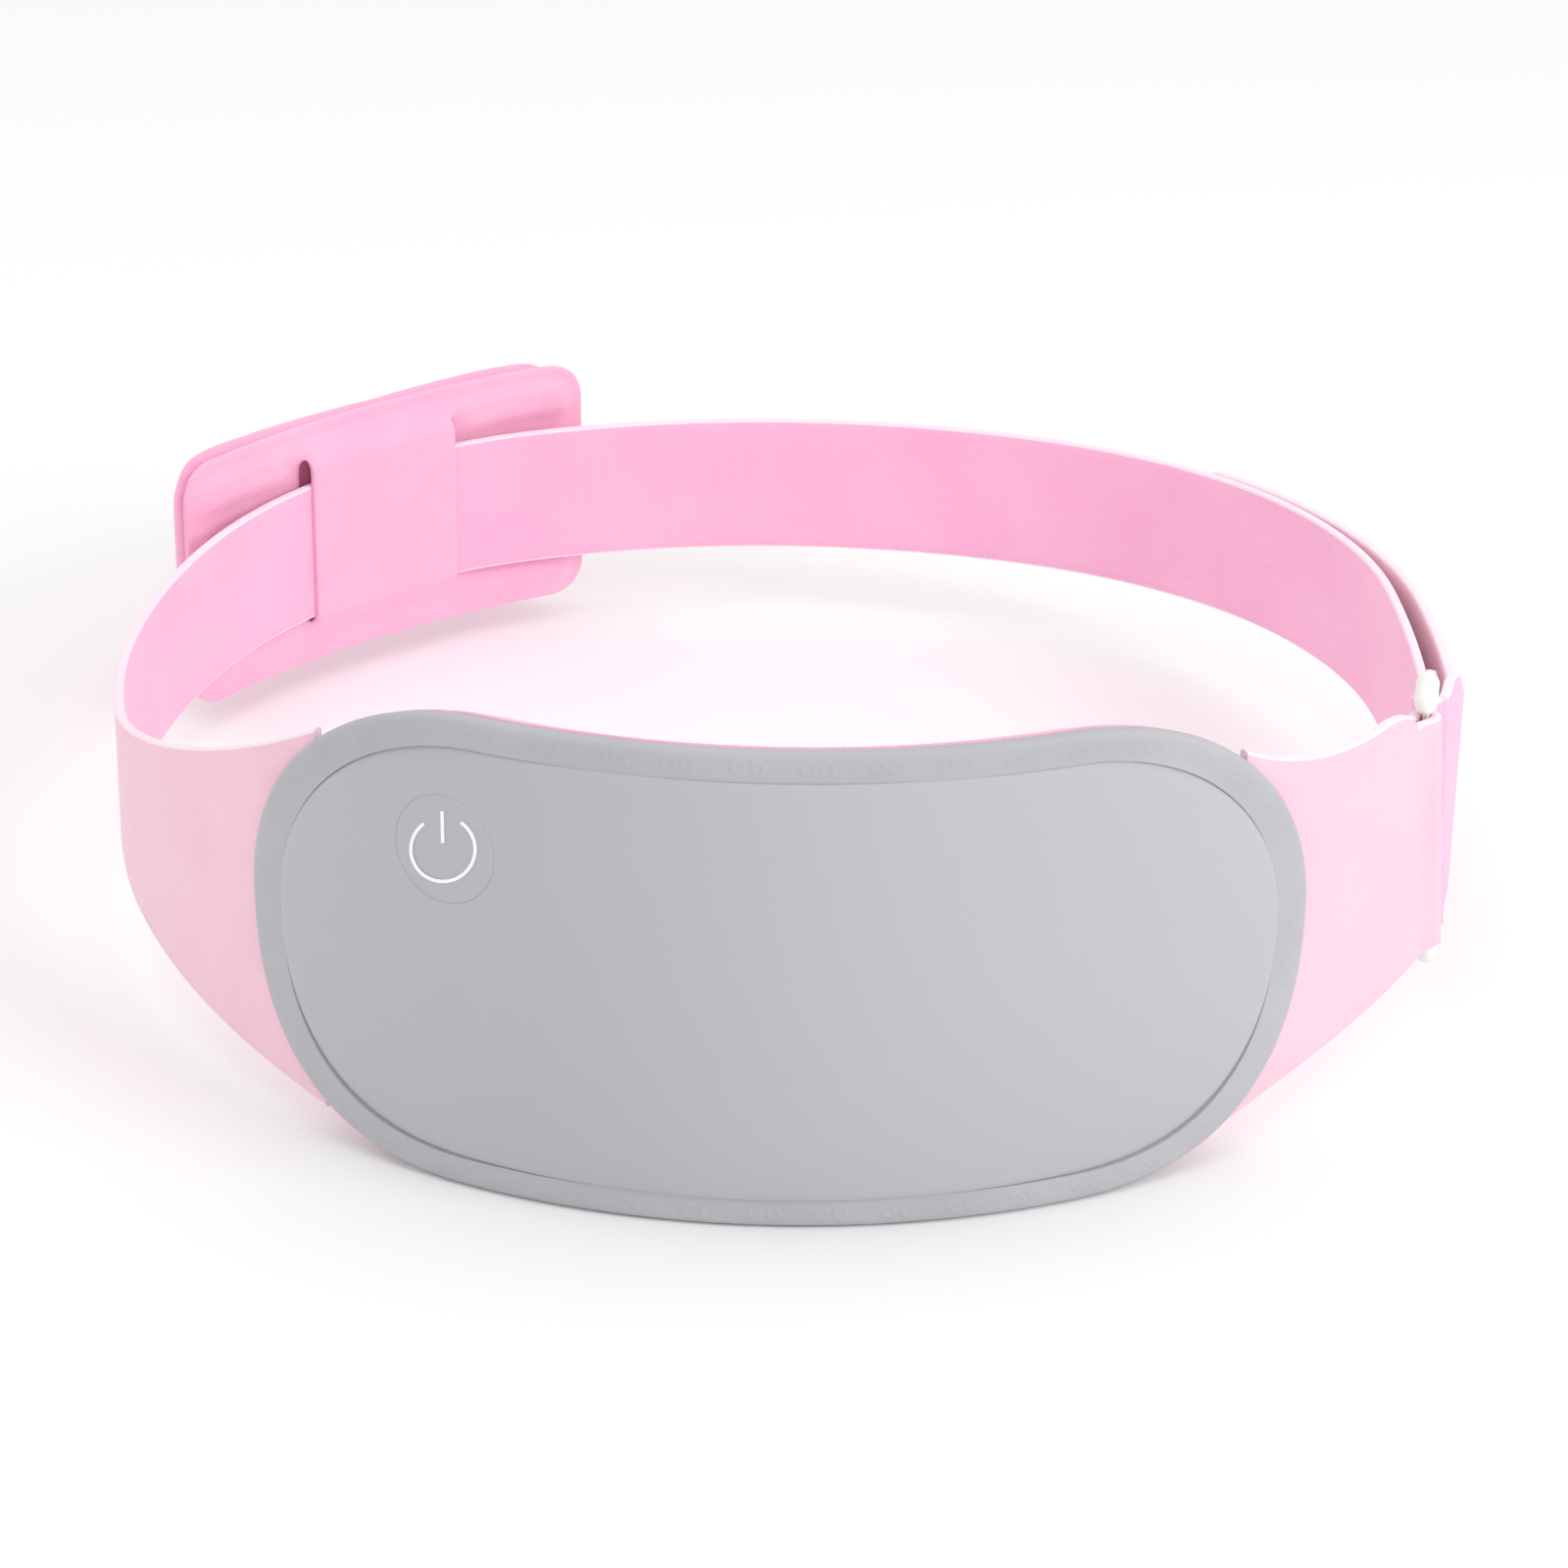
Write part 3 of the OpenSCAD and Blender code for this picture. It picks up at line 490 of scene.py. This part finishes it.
def rim():
    """The moulded edging: a soft flat band with rounded borders and pairs of tiny raised rings."""
    steps = 1500
    profile = (
        # share across from the outer edge to the inner, height above the band's back
        (0.00, 0.0), (0.00, 0.5), (0.015, 0.85), (0.05, 1.15), (0.11, 1.38), (0.19, 1.5), (0.27, 1.53), (0.35, 1.55),
        (0.43, 1.55), (0.51, 1.55), (0.59, 1.55), (0.67, 1.54), (0.75, 1.53), (0.83, 1.51), (0.91, 1.5), (0.97, 1.5),
        (1.01, 1.48), (1.02, 0.5), (1.02, 0.0),
    )
    outer = outline(0, 0, steps)
    inner = outline(RIM_END_W, RIM_W, steps)
    # match each inner point to the outer one by their shared place round the outline
    length = 0
    travelled = [0]
    for a, b in zip(outer, outer[1:] + outer[:1]):
        length += math.dist(a, b)
        travelled.append(length)
    pairs = round(length / 9.2)
    pitch = length / pairs
    rings = []
    for i in range(steps):
        (s1, z1), (s0, z0) = outer[i], inner[i]
        ring = []
        width = math.dist((s1, z1), (s0, z0))
        for share, rise in profile:
            s, z = s1 + (s0 - s1) * share, z1 + (z0 - z1) * share
            along = (travelled[i] + pitch / 2) % pitch - pitch / 2
            across = (share - 0.5) * width
            mark = 0
            for place in (-1.25, 1.25):
                far = math.hypot(along - place, across)
                mark += max(0, 1 - abs(far - 0.85) / 0.4)
            ring.append(on_face(s, z, LOOP_R + 0.9 + rise + 0.13 * min(1, mark)))
        rings.append(ring)
    verts, faces = tube_grid(rings, wrap=True)
    obj = mesh_object("rim_edging", verts, faces)
    obj.data.materials.append(RIM)
    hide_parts("rim_band")
    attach(obj, "module")


FACE_AXIS = 156.0
FACE_RHO = 235.5
EYE_A = math.radians(21)
EYE_R = 18.0
EYE_FLOOR = 88.2


def face_depth(s, z):
    """Distance from the loop's axis of the face pad's skin."""
    a = s / FACE_R
    c = math.cos(a)
    r = -FACE_AXIS * c + math.sqrt(max(0, (FACE_AXIS * c) ** 2 + FACE_RHO ** 2 - FACE_AXIS ** 2))
    edge_r = 97.9
    profile = ((0, 79.2), (9, 79.5), (18, 83.2), (25.5, 87.2), (31.2, 92.2), (33.6, edge_r))
    h = abs(z)
    for (h0, r0), (h1, r1) in zip(profile, profile[1:]):
        if h <= h1:
            r = max(r, r0 + (r1 - r0) * (h - h0) / (h1 - h0))
            break
    for side in (-1, 1):
        across = r * math.sin(a - side * EYE_A)
        far = math.hypot(across, z)
        floor = EYE_FLOOR / max(0.5, math.cos(a - side * EYE_A))
        r = max(r, r + (floor - r) * (1 - smooth(far, EYE_R - 3.5, EYE_R + 1.5))) if floor > r else r
    nose = math.hypot(r * math.sin(a), MASK_Z + z + 5)
    if nose < 23:
        r = max(r, r + (90 - r) * (1 - smooth(nose, 17, 22)))
    return r


def face_pad():
    """The soft pad against the face, puffed between its edge seam, the eye recesses and the nose relief."""
    count = 220
    steps = 34
    edge = outline(1.0, 1.0, count)
    rings = []
    for i in range(steps + 1):
        t = 1 - (1 - i / steps) ** 1.35
        ring = []
        for s1, z1 in edge:
            s, z = s1 * t, z1 * t
            r = face_depth(s, z)
            border = smooth(t, 0.93, 1.0)
            r = r + (98.2 - r) * border
            a = s / FACE_R
            ring.append((r * math.sin(a), -r * math.cos(a), MASK_Z + z))
        rings.append(ring)
    rings = rings[1:]
    # the flat seam allowance and the back
    rings.append([on_face(s, z, 98.9) for s, z in outline(0.6, 0.6, count)])
    rings.append([on_face(s, z, 99.12) for s, z in outline(0.9, 0.9, count)])
    rings.append([on_face(s, z, 99.14) for s, z in outline(9, 6, count)])
    verts, faces = tube_grid(rings)
    faces.append(tuple(range(count)))
    faces.append(tuple(range(len(verts) - count, len(verts))))
    obj = mesh_object("face_pad_cushion", verts, faces)
    obj.data.materials.append(FACE_CLOTH)
    return obj


# ---------- Wings, strap and tail ----------

RING_A = math.radians(65.8)
RING_LEAN = math.radians(12.7)
RING_TOP = 26.7
RING_BOTTOM = -13.6
RING_MID = (RING_TOP + RING_BOTTOM) / 2
BAR_SPAN = 4.42
BAR_DROP = 1.2
FOLD_R = 1.55
LEG_X = 94.6
TAIL_X = 98.8
JOIN_A = math.radians(50)
LEG_SIDE_R = 300.0
TAIL_SIDE_R = 250.0
TAIL_OFF = BAND_T + 0.35
TIP_R = 6.0
HEM_R = 1.45
WING_FROM = 66.0
FOLD_LOW = -12.7
FOLD_HIGH = 27.6
# how far along the band a leaning edge is from the middle, at the strap's top and bottom
LEAN_LOW, LEAN_HIGH = 4.3, 4.7


def edge_height(s, curve):
    """Height on a quadratic curve of (length, height) at a length, by bisection."""
    a, b, c = curve
    lo, hi = 0.0, 1.0
    rising = c[0] > a[0]
    for _ in range(40):
        mid = (lo + hi) / 2
        if (lean(a, b, c, mid)[0] < s) == rising:
            lo = mid
        else:
            hi = mid
    return lean(a, b, c, lo)[1]


LEFT_TOP = ((56, 43), (84, 24), (135, STRAP_HALF))
LEFT_LOW = ((60, -22.3), (88, -15), (135, -STRAP_HALF))
RIGHT_TOP = (((58, 42), (72, 30), (96, 30.6)), ((96, 30.6), (103, 31), (107.6, RING_TOP - 0.1)))
RIGHT_LOW = ((66, -20), (82, -14.5), (106, RING_BOTTOM))
BEHIND_TOP = (((117.4, FOLD_HIGH), (119.5, 30), (126, 26.2)), ((126, 26.2), (136, 17.5), (155, STRAP_HALF)))
BEHIND_LOW = ((128, FOLD_LOW), (140, -12.2), (155, -STRAP_HALF))
RUN = math.tan(RING_LEAN)


def left_edges(s):
    if s > 135:
        return -STRAP_HALF, STRAP_HALF
    return edge_height(s, LEFT_LOW), edge_height(s, LEFT_TOP)


def right_edges(s):
    bottom = RING_BOTTOM if s > 106 else edge_height(s, RIGHT_LOW)
    if s > 107.6:
        return bottom, RING_TOP - 0.1
    return bottom, edge_height(s, RIGHT_TOP[s > 96])


def behind_edges(s):
    if s > 155:
        return -STRAP_HALF, STRAP_HALF
    top = FOLD_HIGH if s < 117.4 else edge_height(s, BEHIND_TOP[s > 126])
    return (FOLD_LOW if s < 128 else edge_height(s, BEHIND_LOW)), top


def ripple(s, z, seed):
    """A faint unevenness of soft cloth."""
    return 0.16 * noise.noise(Vector((s * 0.035, z * 0.05, seed)))


def ring_point(x, y, h):
    """A point x behind the front bar and y inwards from it, h up along the bars."""
    c, s = math.cos(RING_A), math.sin(RING_A)
    u = x - h * math.sin(RING_LEAN)
    v = LOOP_R - y
    return u * c + v * s, u * s - v * c, STRAP_Z + RING_MID + h * math.cos(RING_LEAN)


BAR_X, BAR_Y, _ = ring_point(BAR_SPAN, BAR_DROP, 0)


def side_run(x0, side_r, off, side):
    """The arcs of one layer at the right, from the fold to the rear corner: (centre x, centre y, radius, from, to)."""
    d = BAR_X - x0
    run_r = (d * d + BAR_Y * BAR_Y - FOLD_R ** 2) / 2 / (-side * FOLD_R - d)
    px = CORNER_C + (CORNER_R + off) * math.cos(JOIN_A)
    py = CORNER_C + (CORNER_R + off) * math.sin(JOIN_A)
    ax = px - x0 + side_r
    top = side_r ** 2 - ax ** 2 - py ** 2
    bend_r = top / 2 / (side_r - ax * math.cos(JOIN_A) - py * math.sin(JOIN_A))
    bx, by = px - bend_r * math.cos(JOIN_A), py - bend_r * math.sin(JOIN_A)
    meet = math.atan2(by, bx - x0 + side_r)
    return (
        (x0 - run_r, 0, run_r, math.atan2(BAR_Y, BAR_X - x0 + run_r), 0), (x0 - side_r, 0, side_r, 0, meet),
        (bx, by, bend_r, meet, JOIN_A)
    )


LEG = side_run(LEG_X, LEG_SIDE_R, 0, -1)
TAIL = side_run(TAIL_X, TAIL_SIDE_R, TAIL_OFF, 1)


def along(arcs, t):
    """(x, y, outward x, outward y) at a length from the fold."""
    for index, (cx, cy, r, a0, a1) in enumerate(arcs):
        if t <= r * (a1 - a0) or index == 2:
            a = a0 + t / r
            return cx + r * math.cos(a), cy + r * math.sin(a), math.cos(a), math.sin(a)
        t -= r * (a1 - a0)


def loop_length(arcs, t):
    """The length round the loop that stands beside a length from the fold."""
    x, y, _, _ = along(arcs, t)
    return LOOP_R * (math.atan2(y, x) + math.pi / 2)


def reach_of(arcs):
    """The whole length of a layer's arcs."""
    return sum(r * (a1 - a0) for _, _, r, a0, a1 in arcs)


def upright(x, y, nx, ny):
    """A column that is the same at every height."""
    return lambda z: (x, y, nx, ny)


def layer(arcs, t, share, side):
    """A station of a layer that leans with the bars by a share, with its outer face outwards when side is 1."""
    def column(z):
        x, y, nx, ny = along(arcs, t - RUN * (z - STRAP_Z - RING_MID) * share)
        return x, y, side * nx, side * ny
    s = loop_length(arcs, t)
    low_edge = behind_edges(s + LEAN_LOW * share)[0] if s < SIDE_S else -STRAP_HALF
    high_edge = behind_edges(s - LEAN_HIGH * share)[1] if s < SIDE_S else STRAP_HALF
    return column, STRAP_Z + low_edge, STRAP_Z + high_edge, 1


def round_bar(x, y, radius, turn, out):
    """A column on a tube about a line along the bars. turn is a direction seen from above."""
    dx, dy = math.cos(turn), math.sin(turn)

    def column(z):
        bx, by, _ = ring_point(x, y, (z - STRAP_Z - RING_MID) / math.cos(RING_LEAN))
        return bx + radius * dx, by + radius * dy, out * dx, out * dy
    return column


def steps(start, stop, step):
    """Evenly spaced values from start to stop, about a step apart."""
    count = max(1, round((stop - start) / step))
    return [start + (stop - start) * i / count for i in range(count + 1)]


def long_strap():
    """One band from the left end of the module, round the back, to the fold at the ring."""
    stations = []
    s = -WING_FROM
    join = HALF_S * 2 - (CORNER_S + CORNER_R * (JOIN_A - FLAT_A))
    while s > -join:
        if s > -HALF_S:
            x, y, nx, ny = loop_at(s)
        else:
            x, y, nx, ny = loop_at(2 * HALF_S + s)
        z0, z1 = left_edges(-s) if s > -SIDE_S else (-STRAP_HALF, STRAP_HALF)
        off = ripple(s, 0, 3.1) * smooth(-s, 90, 110) * (1 - smooth(-s, join - 25, join))
        stations.append((upright(x + nx * off, y + ny * off, nx, ny), STRAP_Z + z0, STRAP_Z + z1, 1))
        s -= 1.6
    for t in reversed(steps(0, reach_of(LEG) - 0.4, 1.4)):
        stations.append(layer(LEG, t, 1 - smooth(t, 2, 34), 1))
    # round the rear bar, from the inner layer to the outer one
    for turn in steps(LEG[0][3] + math.pi, TAIL[0][3] + 2 * math.pi, 0.17)[1:]:
        stations.append((round_bar(BAR_SPAN, BAR_DROP, FOLD_R, turn, -1), STRAP_Z + FOLD_LOW, STRAP_Z + FOLD_HIGH, 1))
    obj = ribbon("long_strap", stations, [PINK_OUT_PAINTED_LIT, PINK_IN_PAINTED_SHADE, PINK_EDGE_PAINTED_HIGHLIGHT])
    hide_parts("left_wing", "rear_strap")
    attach(obj, "module")
    return obj


def right_wing():
    """The short right wing, with its hem turned round the ring's front bar."""
    stations = []
    bar_s = LOOP_R * RING_A

    def wall(s, share):
        def column(z):
            return loop_at(s - RUN * (z - STRAP_Z - RING_MID) * share)
        low_edge = right_edges(s + 4.4 * share)[0]
        high_edge = right_edges(s - 4.6 * share)[1]
        return column, STRAP_Z + low_edge, STRAP_Z + high_edge, 1

    for s in steps(WING_FROM, bar_s - 5.6, 1.4):
        stations.append(wall(s, smooth(s, 84, 107)))
    low_z, high_z = STRAP_Z + RING_BOTTOM, STRAP_Z + RING_TOP
    outward = RING_A - math.pi / 2

    def flat(x, off, out, factor):
        def column(z):
            px, py, _ = ring_point(x, x * x / (2 * LOOP_R) - off, (z - STRAP_Z - RING_MID) / math.cos(RING_LEAN))
            return px, py, out * math.cos(outward), out * math.sin(outward)
        return column, low_z, high_z, factor

    # out along the hem, round the bar and back inside
    for x, off in ((-4.6, 0), (-3.6, 0.15), (-2.7, 0.5), (-1.9, 0.9), (-1.2, 1.22), (-0.6, 1.4)):
        stations.append(flat(x, off, 1, 0.97))
    for turn in steps(outward, outward + math.pi, 0.2):
        stations.append((round_bar(0, 0, HEM_R, turn, 1), low_z, high_z, 0.97))
    for x, off in ((-0.8, -1.46), (-1.6, -1.5), (-2.6, -1.5), (-3.8, -1.5), (-5.2, -1.5), (-6.6, -1.5)):
        stations.append(flat(x, off, -1, 0.95))
    obj = ribbon("right_wing_cloth", stations, [PINK_OUT_PAINTED_LIT, PINK_IN_PAINTED_SHADE, PINK_EDGE_PAINTED_HIGHLIGHT])
    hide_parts("right_wing")
    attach(obj, "module")
    return obj


def tail():
    """The strap's free end from the fold, folded back outside the strap, with a rounded tip."""
    stations = []
    whole = reach_of(TAIL) + TIP_R
    for t in steps(0.05, 12, 1.0) + steps(13, whole, 0.6):
        column, z0, z1, factor = layer(TAIL, t, 1 - smooth(t, 0, 9), -1)
        short = max(0, TIP_R - (whole - t))
        trim = TIP_R - math.sqrt(max(0, TIP_R ** 2 - short ** 2))
        stations.append((column, z0 + trim, z1 - trim, factor))
    obj = ribbon("strap_end", stations, [PINK_OUT_PAINTED_LIT, PINK_IN_PAINTED_SHADE, PINK_EDGE_PAINTED_HIGHLIGHT])
    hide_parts("strap_tail")
    start, end = along(TAIL, 1.5), along(TAIL, 10)
    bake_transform(obj)
    return obj


# ---------- The head pad ----------

PAD_PHI = math.radians(131.9)
PAD_IN = CORNER_R + BAND_T / 2 + 0.35
PAD_RHO = 150.0
PAD_LEN = 81.0
PAD_H = 42
PAD_Z = 0.2
SLIT_GAP = 29.6
SLIT_LOW = -13.0
SLIT_HIGH = 16.3
LINING_T = 1.2


def pad_point(u, v, off):
    """A point of the head pad: u along its curve, v up from its middle, off outwards from its inner face."""
    a = u / PAD_RHO
    lx = PAD_IN - PAD_RHO + (PAD_RHO + off) * math.cos(a)
    ly = (PAD_RHO + off) * math.sin(a)
    x = -CORNER_C + lx * math.cos(PAD_PHI) - ly * math.sin(PAD_PHI)
    y = CORNER_C + lx * math.sin(PAD_PHI) + ly * math.cos(PAD_PHI)
    return x, y, STRAP_Z + PAD_Z + v


def rounded_loop(w, h, r, count):
    """A rounded rectangle as points, evenly spaced, anticlockwise from the right."""
    straight_w, straight_h = w - 2 * r, h - 2 * r
    total = 2 * (straight_w + straight_h) + 2 * math.pi * r
    points = []
    for i in range(count):
        d = total * i / count
        parts = (
            (straight_h / 2, "v", w / 2, 1), (math.pi * r / 2, "c", 0, 0), (straight_w, "h", h / 2, -1),
            (math.pi * r / 2, "c", 1, 0), (straight_h, "v", -w / 2, -1), (math.pi * r / 2, "c", 2, 0),
            (straight_w, "h", -h / 2, 1), (math.pi * r / 2, "c", 3, 0), (straight_h / 2, "v", w / 2, 1),
        )
        for index, (size, kind, place, way) in enumerate(parts):
            if d <= size or index == len(parts) - 1:
                break
            d -= size
        if kind == "v":
            start = 0 if index == 0 else -way * straight_h / 2
            points.append((place, start + way * d))
        elif kind == "h":
            points.append((-way * straight_w / 2 + way * d, place))
        else:
            turn = place * math.pi / 2 + d / r
            cx = straight_w / 2 if place in (0, 3) else -straight_w / 2
            cy = straight_h / 2 if place in (0, 1) else -straight_h / 2
            points.append((cx + r * math.cos(turn), cy + r * math.sin(turn)))
    return points


def simulate(obj, pressure, cap, voxel):
    """Puffs a closed piece by cloth simulation and keeps each point within cap of where it was."""
    bpy.context.view_layer.objects.active = obj
    remesh = obj.modifiers.new("remesh", "REMESH")
    remesh.mode = "VOXEL"
    remesh.voxel_size = voxel * MM
    bpy.ops.object.select_all(action="DESELECT")
    obj.select_set(True)
    bpy.ops.object.modifier_apply(modifier="remesh")
    before = [v.co.copy() for v in obj.data.vertices]
    cloth = obj.modifiers.new("cloth", "CLOTH")
    cloth.settings.use_pressure = True
    cloth.settings.uniform_pressure_force = pressure
    cloth.settings.effector_weights.gravity = 0
    cloth.settings.quality = 6
    cloth.settings.mass = 0.15
    cloth.settings.tension_stiffness = 12
    cloth.settings.compression_stiffness = 12
    cloth.point_cache.frame_start = 1
    cloth.point_cache.frame_end = 20
    for step in range(1, 21):
        bpy.context.scene.frame_set(step)
    bpy.ops.object.modifier_apply(modifier="cloth")
    bpy.context.scene.frame_set(1)
    for v, start in zip(obj.data.vertices, before):
        move = v.co - start
        if move.length > cap * MM:
            v.co = start + move * (cap * MM / move.length)


def head_pad():
    count = 200
    # the cushion: the puffed outer cover, welded to the lining all round
    rings = []
    # inset at the ends, inset at the top and bottom, depth
    profile = (
        (14, 9, 1.9), (6, 4, 1.9), (1.4, 1.2, 1.9), (0.9, 0.7, 2.3), (1.1, 0.4, 3.2), (2.2, 0.35, 4.6),
        (3.9, 0.7, 6.0), (6.0, 1.8, 7.2), (9.0, 3.8, 8.1), (13.0, 7.0, 8.5), (18.0, 11.0, 8.6), (24.0, 15.0, 8.6),
    )
    for end, edge, depth in profile:
        w, h = PAD_LEN - 2 * end, PAD_H - 2 * edge
        rings.append([pad_point(u, v, depth) for u, v in rounded_loop(w, h, min(6.3, h / 2 - 0.05), count)])
    verts, faces = tube_grid(rings)
    faces += [tuple(range(count)), tuple(range(len(verts) - count, len(verts)))]
    cushion = mesh_object("head_pad_cushion", verts, faces)
    simulate(cushion, 3.0, 0.7, 1.5)
    smoothing = cushion.modifiers.new("smooth", "SMOOTH")
    smoothing.factor = 0.6
    smoothing.iterations = 6
    sub = cushion.modifiers.new("sub", "SUBSURF")
    sub.levels = sub.render_levels = 1
    cushion.data.materials.append(PAD_CLOTH)
    cushion.data.shade_smooth()
    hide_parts("head_pad_cover", "head_pad_core")
    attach(cushion, "head_pad")
    return cushion


def lining_in(u, v):
    """How far the lining's face stands in from its plain slab, towards the head."""
    w = v + PAD_Z
    inside = abs(u) <= SLIT_GAP / 2 + 0.001
    rise = smooth(w, SLIT_LOW - 3.6, SLIT_LOW + 1.6) * (1 - smooth(w, SLIT_HIGH - 1.6, SLIT_HIGH + 3.4))
    if inside:
        return 3.35 * rise
    near = math.exp(-(abs(u) - SLIT_GAP / 2) / 2.2)
    below = smooth(w, SLIT_LOW - 3.6, SLIT_LOW - 0.4) * (1 - smooth(w, SLIT_LOW - 0.4, SLIT_LOW + 2))
    above = smooth(w, SLIT_HIGH - 2, SLIT_HIGH + 0.4) * (1 - smooth(w, SLIT_HIGH + 0.4, SLIT_HIGH + 3.4))
    return near * (below + above)


def lining():
    """The pad's inner face, with two slits and the bridge that holds the strap."""
    half_u, half_v = PAD_LEN / 2, PAD_H / 2
    slit = SLIT_GAP / 2
    us = [-half_u + (half_u - slit) * (i / 20) for i in range(20)] + [-slit]
    us += [-slit + 2 * slit * i / 24 for i in range(1, 25)]
    us += [slit + (half_u - slit) * (i / 20) for i in range(1, 21)]
    low_v, high_v = SLIT_LOW - PAD_Z, SLIT_HIGH - PAD_Z
    vs = [-half_v + (low_v + half_v) * i / 8 for i in range(8)]
    vs += [low_v + (high_v - low_v) * i / 26 for i in range(26)]
    vs += [high_v + (half_v - high_v) * i / 6 for i in range(7)]
    corner = 6.0

    def place(u, v, off):
        # pulls the grid's corners round
        cu, cv = half_u - corner, half_v - corner
        if abs(u) > cu and abs(v) > cv:
            du, dv = (abs(u) - cu) / corner, (abs(v) - cv) / corner
            far = max(du, dv)
            norm = math.hypot(du, dv)
            k = far / norm if norm else 1
            u = math.copysign(cu + du * corner * k, u)
            v = math.copysign(cv + dv * corner * k, v)
        return pad_point(u, v, off)

    verts, faces = [], []
    index = {}

    def vertex(key, point):
        if key not in index:
            index[key] = len(verts)
            verts.append(point)
        return index[key]

    slit_columns = {20: -1, 44: 1}
    open_rows = [j for j, v in enumerate(vs) if low_v + 0.01 < v < high_v - 0.01]

    def corner_key(i, j, cell_i, layer):
        side = 0
        if i in slit_columns and j in open_rows:
            side = -1 if cell_i < i else 1
        return (i, j, side, layer)

    def point_for(i, j, cell_i, layer):
        u, v = us[i], vs[j]
        depth = lining_in(u, v)
        if i in slit_columns:
            on_bridge = (slit_columns[i] == -1) == (cell_i >= i)
            if j in open_rows:
                depth = lining_in(0, v) if on_bridge else lining_in(slit + 0.01, v)
            else:
                depth = (lining_in(0, v) + lining_in(slit + 0.01, v)) / 2
        puff = 0
        if layer == 0:
            du = half_u - abs(u)
            dv = half_v - abs(v)
            edge = min(du, dv)
            if abs(u) > slit:
                puff = 0.9 * smooth(edge, 1.8, 4.0) * smooth(abs(v + PAD_Z), 12.2, 14.0) * smooth(abs(u) - slit, 0, 5)
                puff += 0.5 * smooth(edge, 1.8, 4.0) * smooth(abs(u), 30, 37)
        off = -depth - puff if layer == 0 else LINING_T - depth
        return place(u, v, off)

    for layer in (0, 1):
        for i in range(len(us) - 1):
            for j in range(len(vs) - 1):
                quad = []
                for di, dj in ((0, 0), (1, 0), (1, 1), (0, 1)):
                    key = corner_key(i + di, j + dj, i, layer)
                    quad.append(vertex(key, point_for(i + di, j + dj, i, layer)))
                faces.append(tuple(quad if layer else reversed(quad)))
    edges = {}
    for f in faces:
        for a, b in zip(f, f[1:] + f[:1]):
            edges.setdefault(tuple(sorted((a, b))), []).append((a, b))
    back = {index[k]: index[(k[0], k[1], k[2], 1)] for k in index if k[3] == 0}
    front = set(back)
    for uses in edges.values():
        if len(uses) == 1 and uses[0][0] in front and uses[0][1] in front:
            a, b = uses[0]
            faces.append((b, a, back[a], back[b]))
    obj = mesh_object("head_pad_face", verts, faces)
    sub = obj.modifiers.new("sub", "SUBSURF")
    sub.levels = sub.render_levels = 1
    obj.data.materials.append(PAD_FACE)
    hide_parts("head_pad_lining")
    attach(obj, "head_pad")
    return obj


cover_panel()
button_cap()
rim()
cushion = face_pad()
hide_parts("face_pad")
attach(cushion, "module")
long_strap()
right_wing()
tail()
head_pad()
lining()


# ---------- Camera, light and floor ----------

def area_light(name, place, size, power, colour=(1, 1, 1)):
    data = bpy.data.lights.new(name, "AREA")
    data.energy = power
    data.size = size
    data.color = colour
    obj = bpy.data.objects.new(name, data)
    obj.location = place
    obj.rotation_euler = (Vector((0, 0, 0.03)) - Vector(place)).to_track_quat("-Z", "Y").to_euler()
    bpy.context.collection.objects.link(obj)


camera_data = bpy.data.cameras.new("camera")
camera = bpy.data.objects.new("camera", camera_data)
bpy.context.collection.objects.link(camera)
camera_data.lens = 106.4
camera_data.sensor_width = 36
camera_data.clip_start = 0.01
camera_data.shift_x = -0.0042
camera_data.shift_y = -0.0320
target = Vector((CENTRE_X * MM, CENTRE_Y * MM, STRAP_Z * MM))
toward = Vector((0.01546, -0.90358, 0.42815))
camera.location = target + 0.7 * toward
turned = toward.to_track_quat("Z", "Y")
camera.rotation_mode = "QUATERNION"
camera.rotation_quaternion = turned @ Quaternion((0, 0, 1), math.radians(0.85))
bpy.context.scene.camera = camera

floor_mesh = bpy.data.meshes.new("floor")
floor_mesh.from_pydata([(-3, -3, 0), (3, -3, 0), (3, 3, 0), (-3, 3, 0)], [], [(0, 1, 2, 3)])
floor = bpy.data.objects.new("floor", floor_mesh)
floor.location.z = -0.0002
bpy.context.collection.objects.link(floor)
floor_mat = material("floor_paper", (0.94, 0.94, 0.94), 0.9)
floor.data.materials.append(floor_mat)

bpy.context.scene.view_settings.view_transform = "Standard"
world = bpy.data.worlds.new("studio")
bpy.context.scene.world = world
world.use_nodes = True
world.node_tree.nodes["Background"].inputs[0].default_value = (1, 1, 1, 1)
world.node_tree.nodes["Background"].inputs[1].default_value = 0.84
area_light("key", (0.83, -0.48, 0.55), 0.45, 3.6)
area_light("side", (-0.95, 0.12, 0.4), 0.5, 0.8)
area_light("top", (0.0, -0.1, 1.0), 0.8, 1.6)
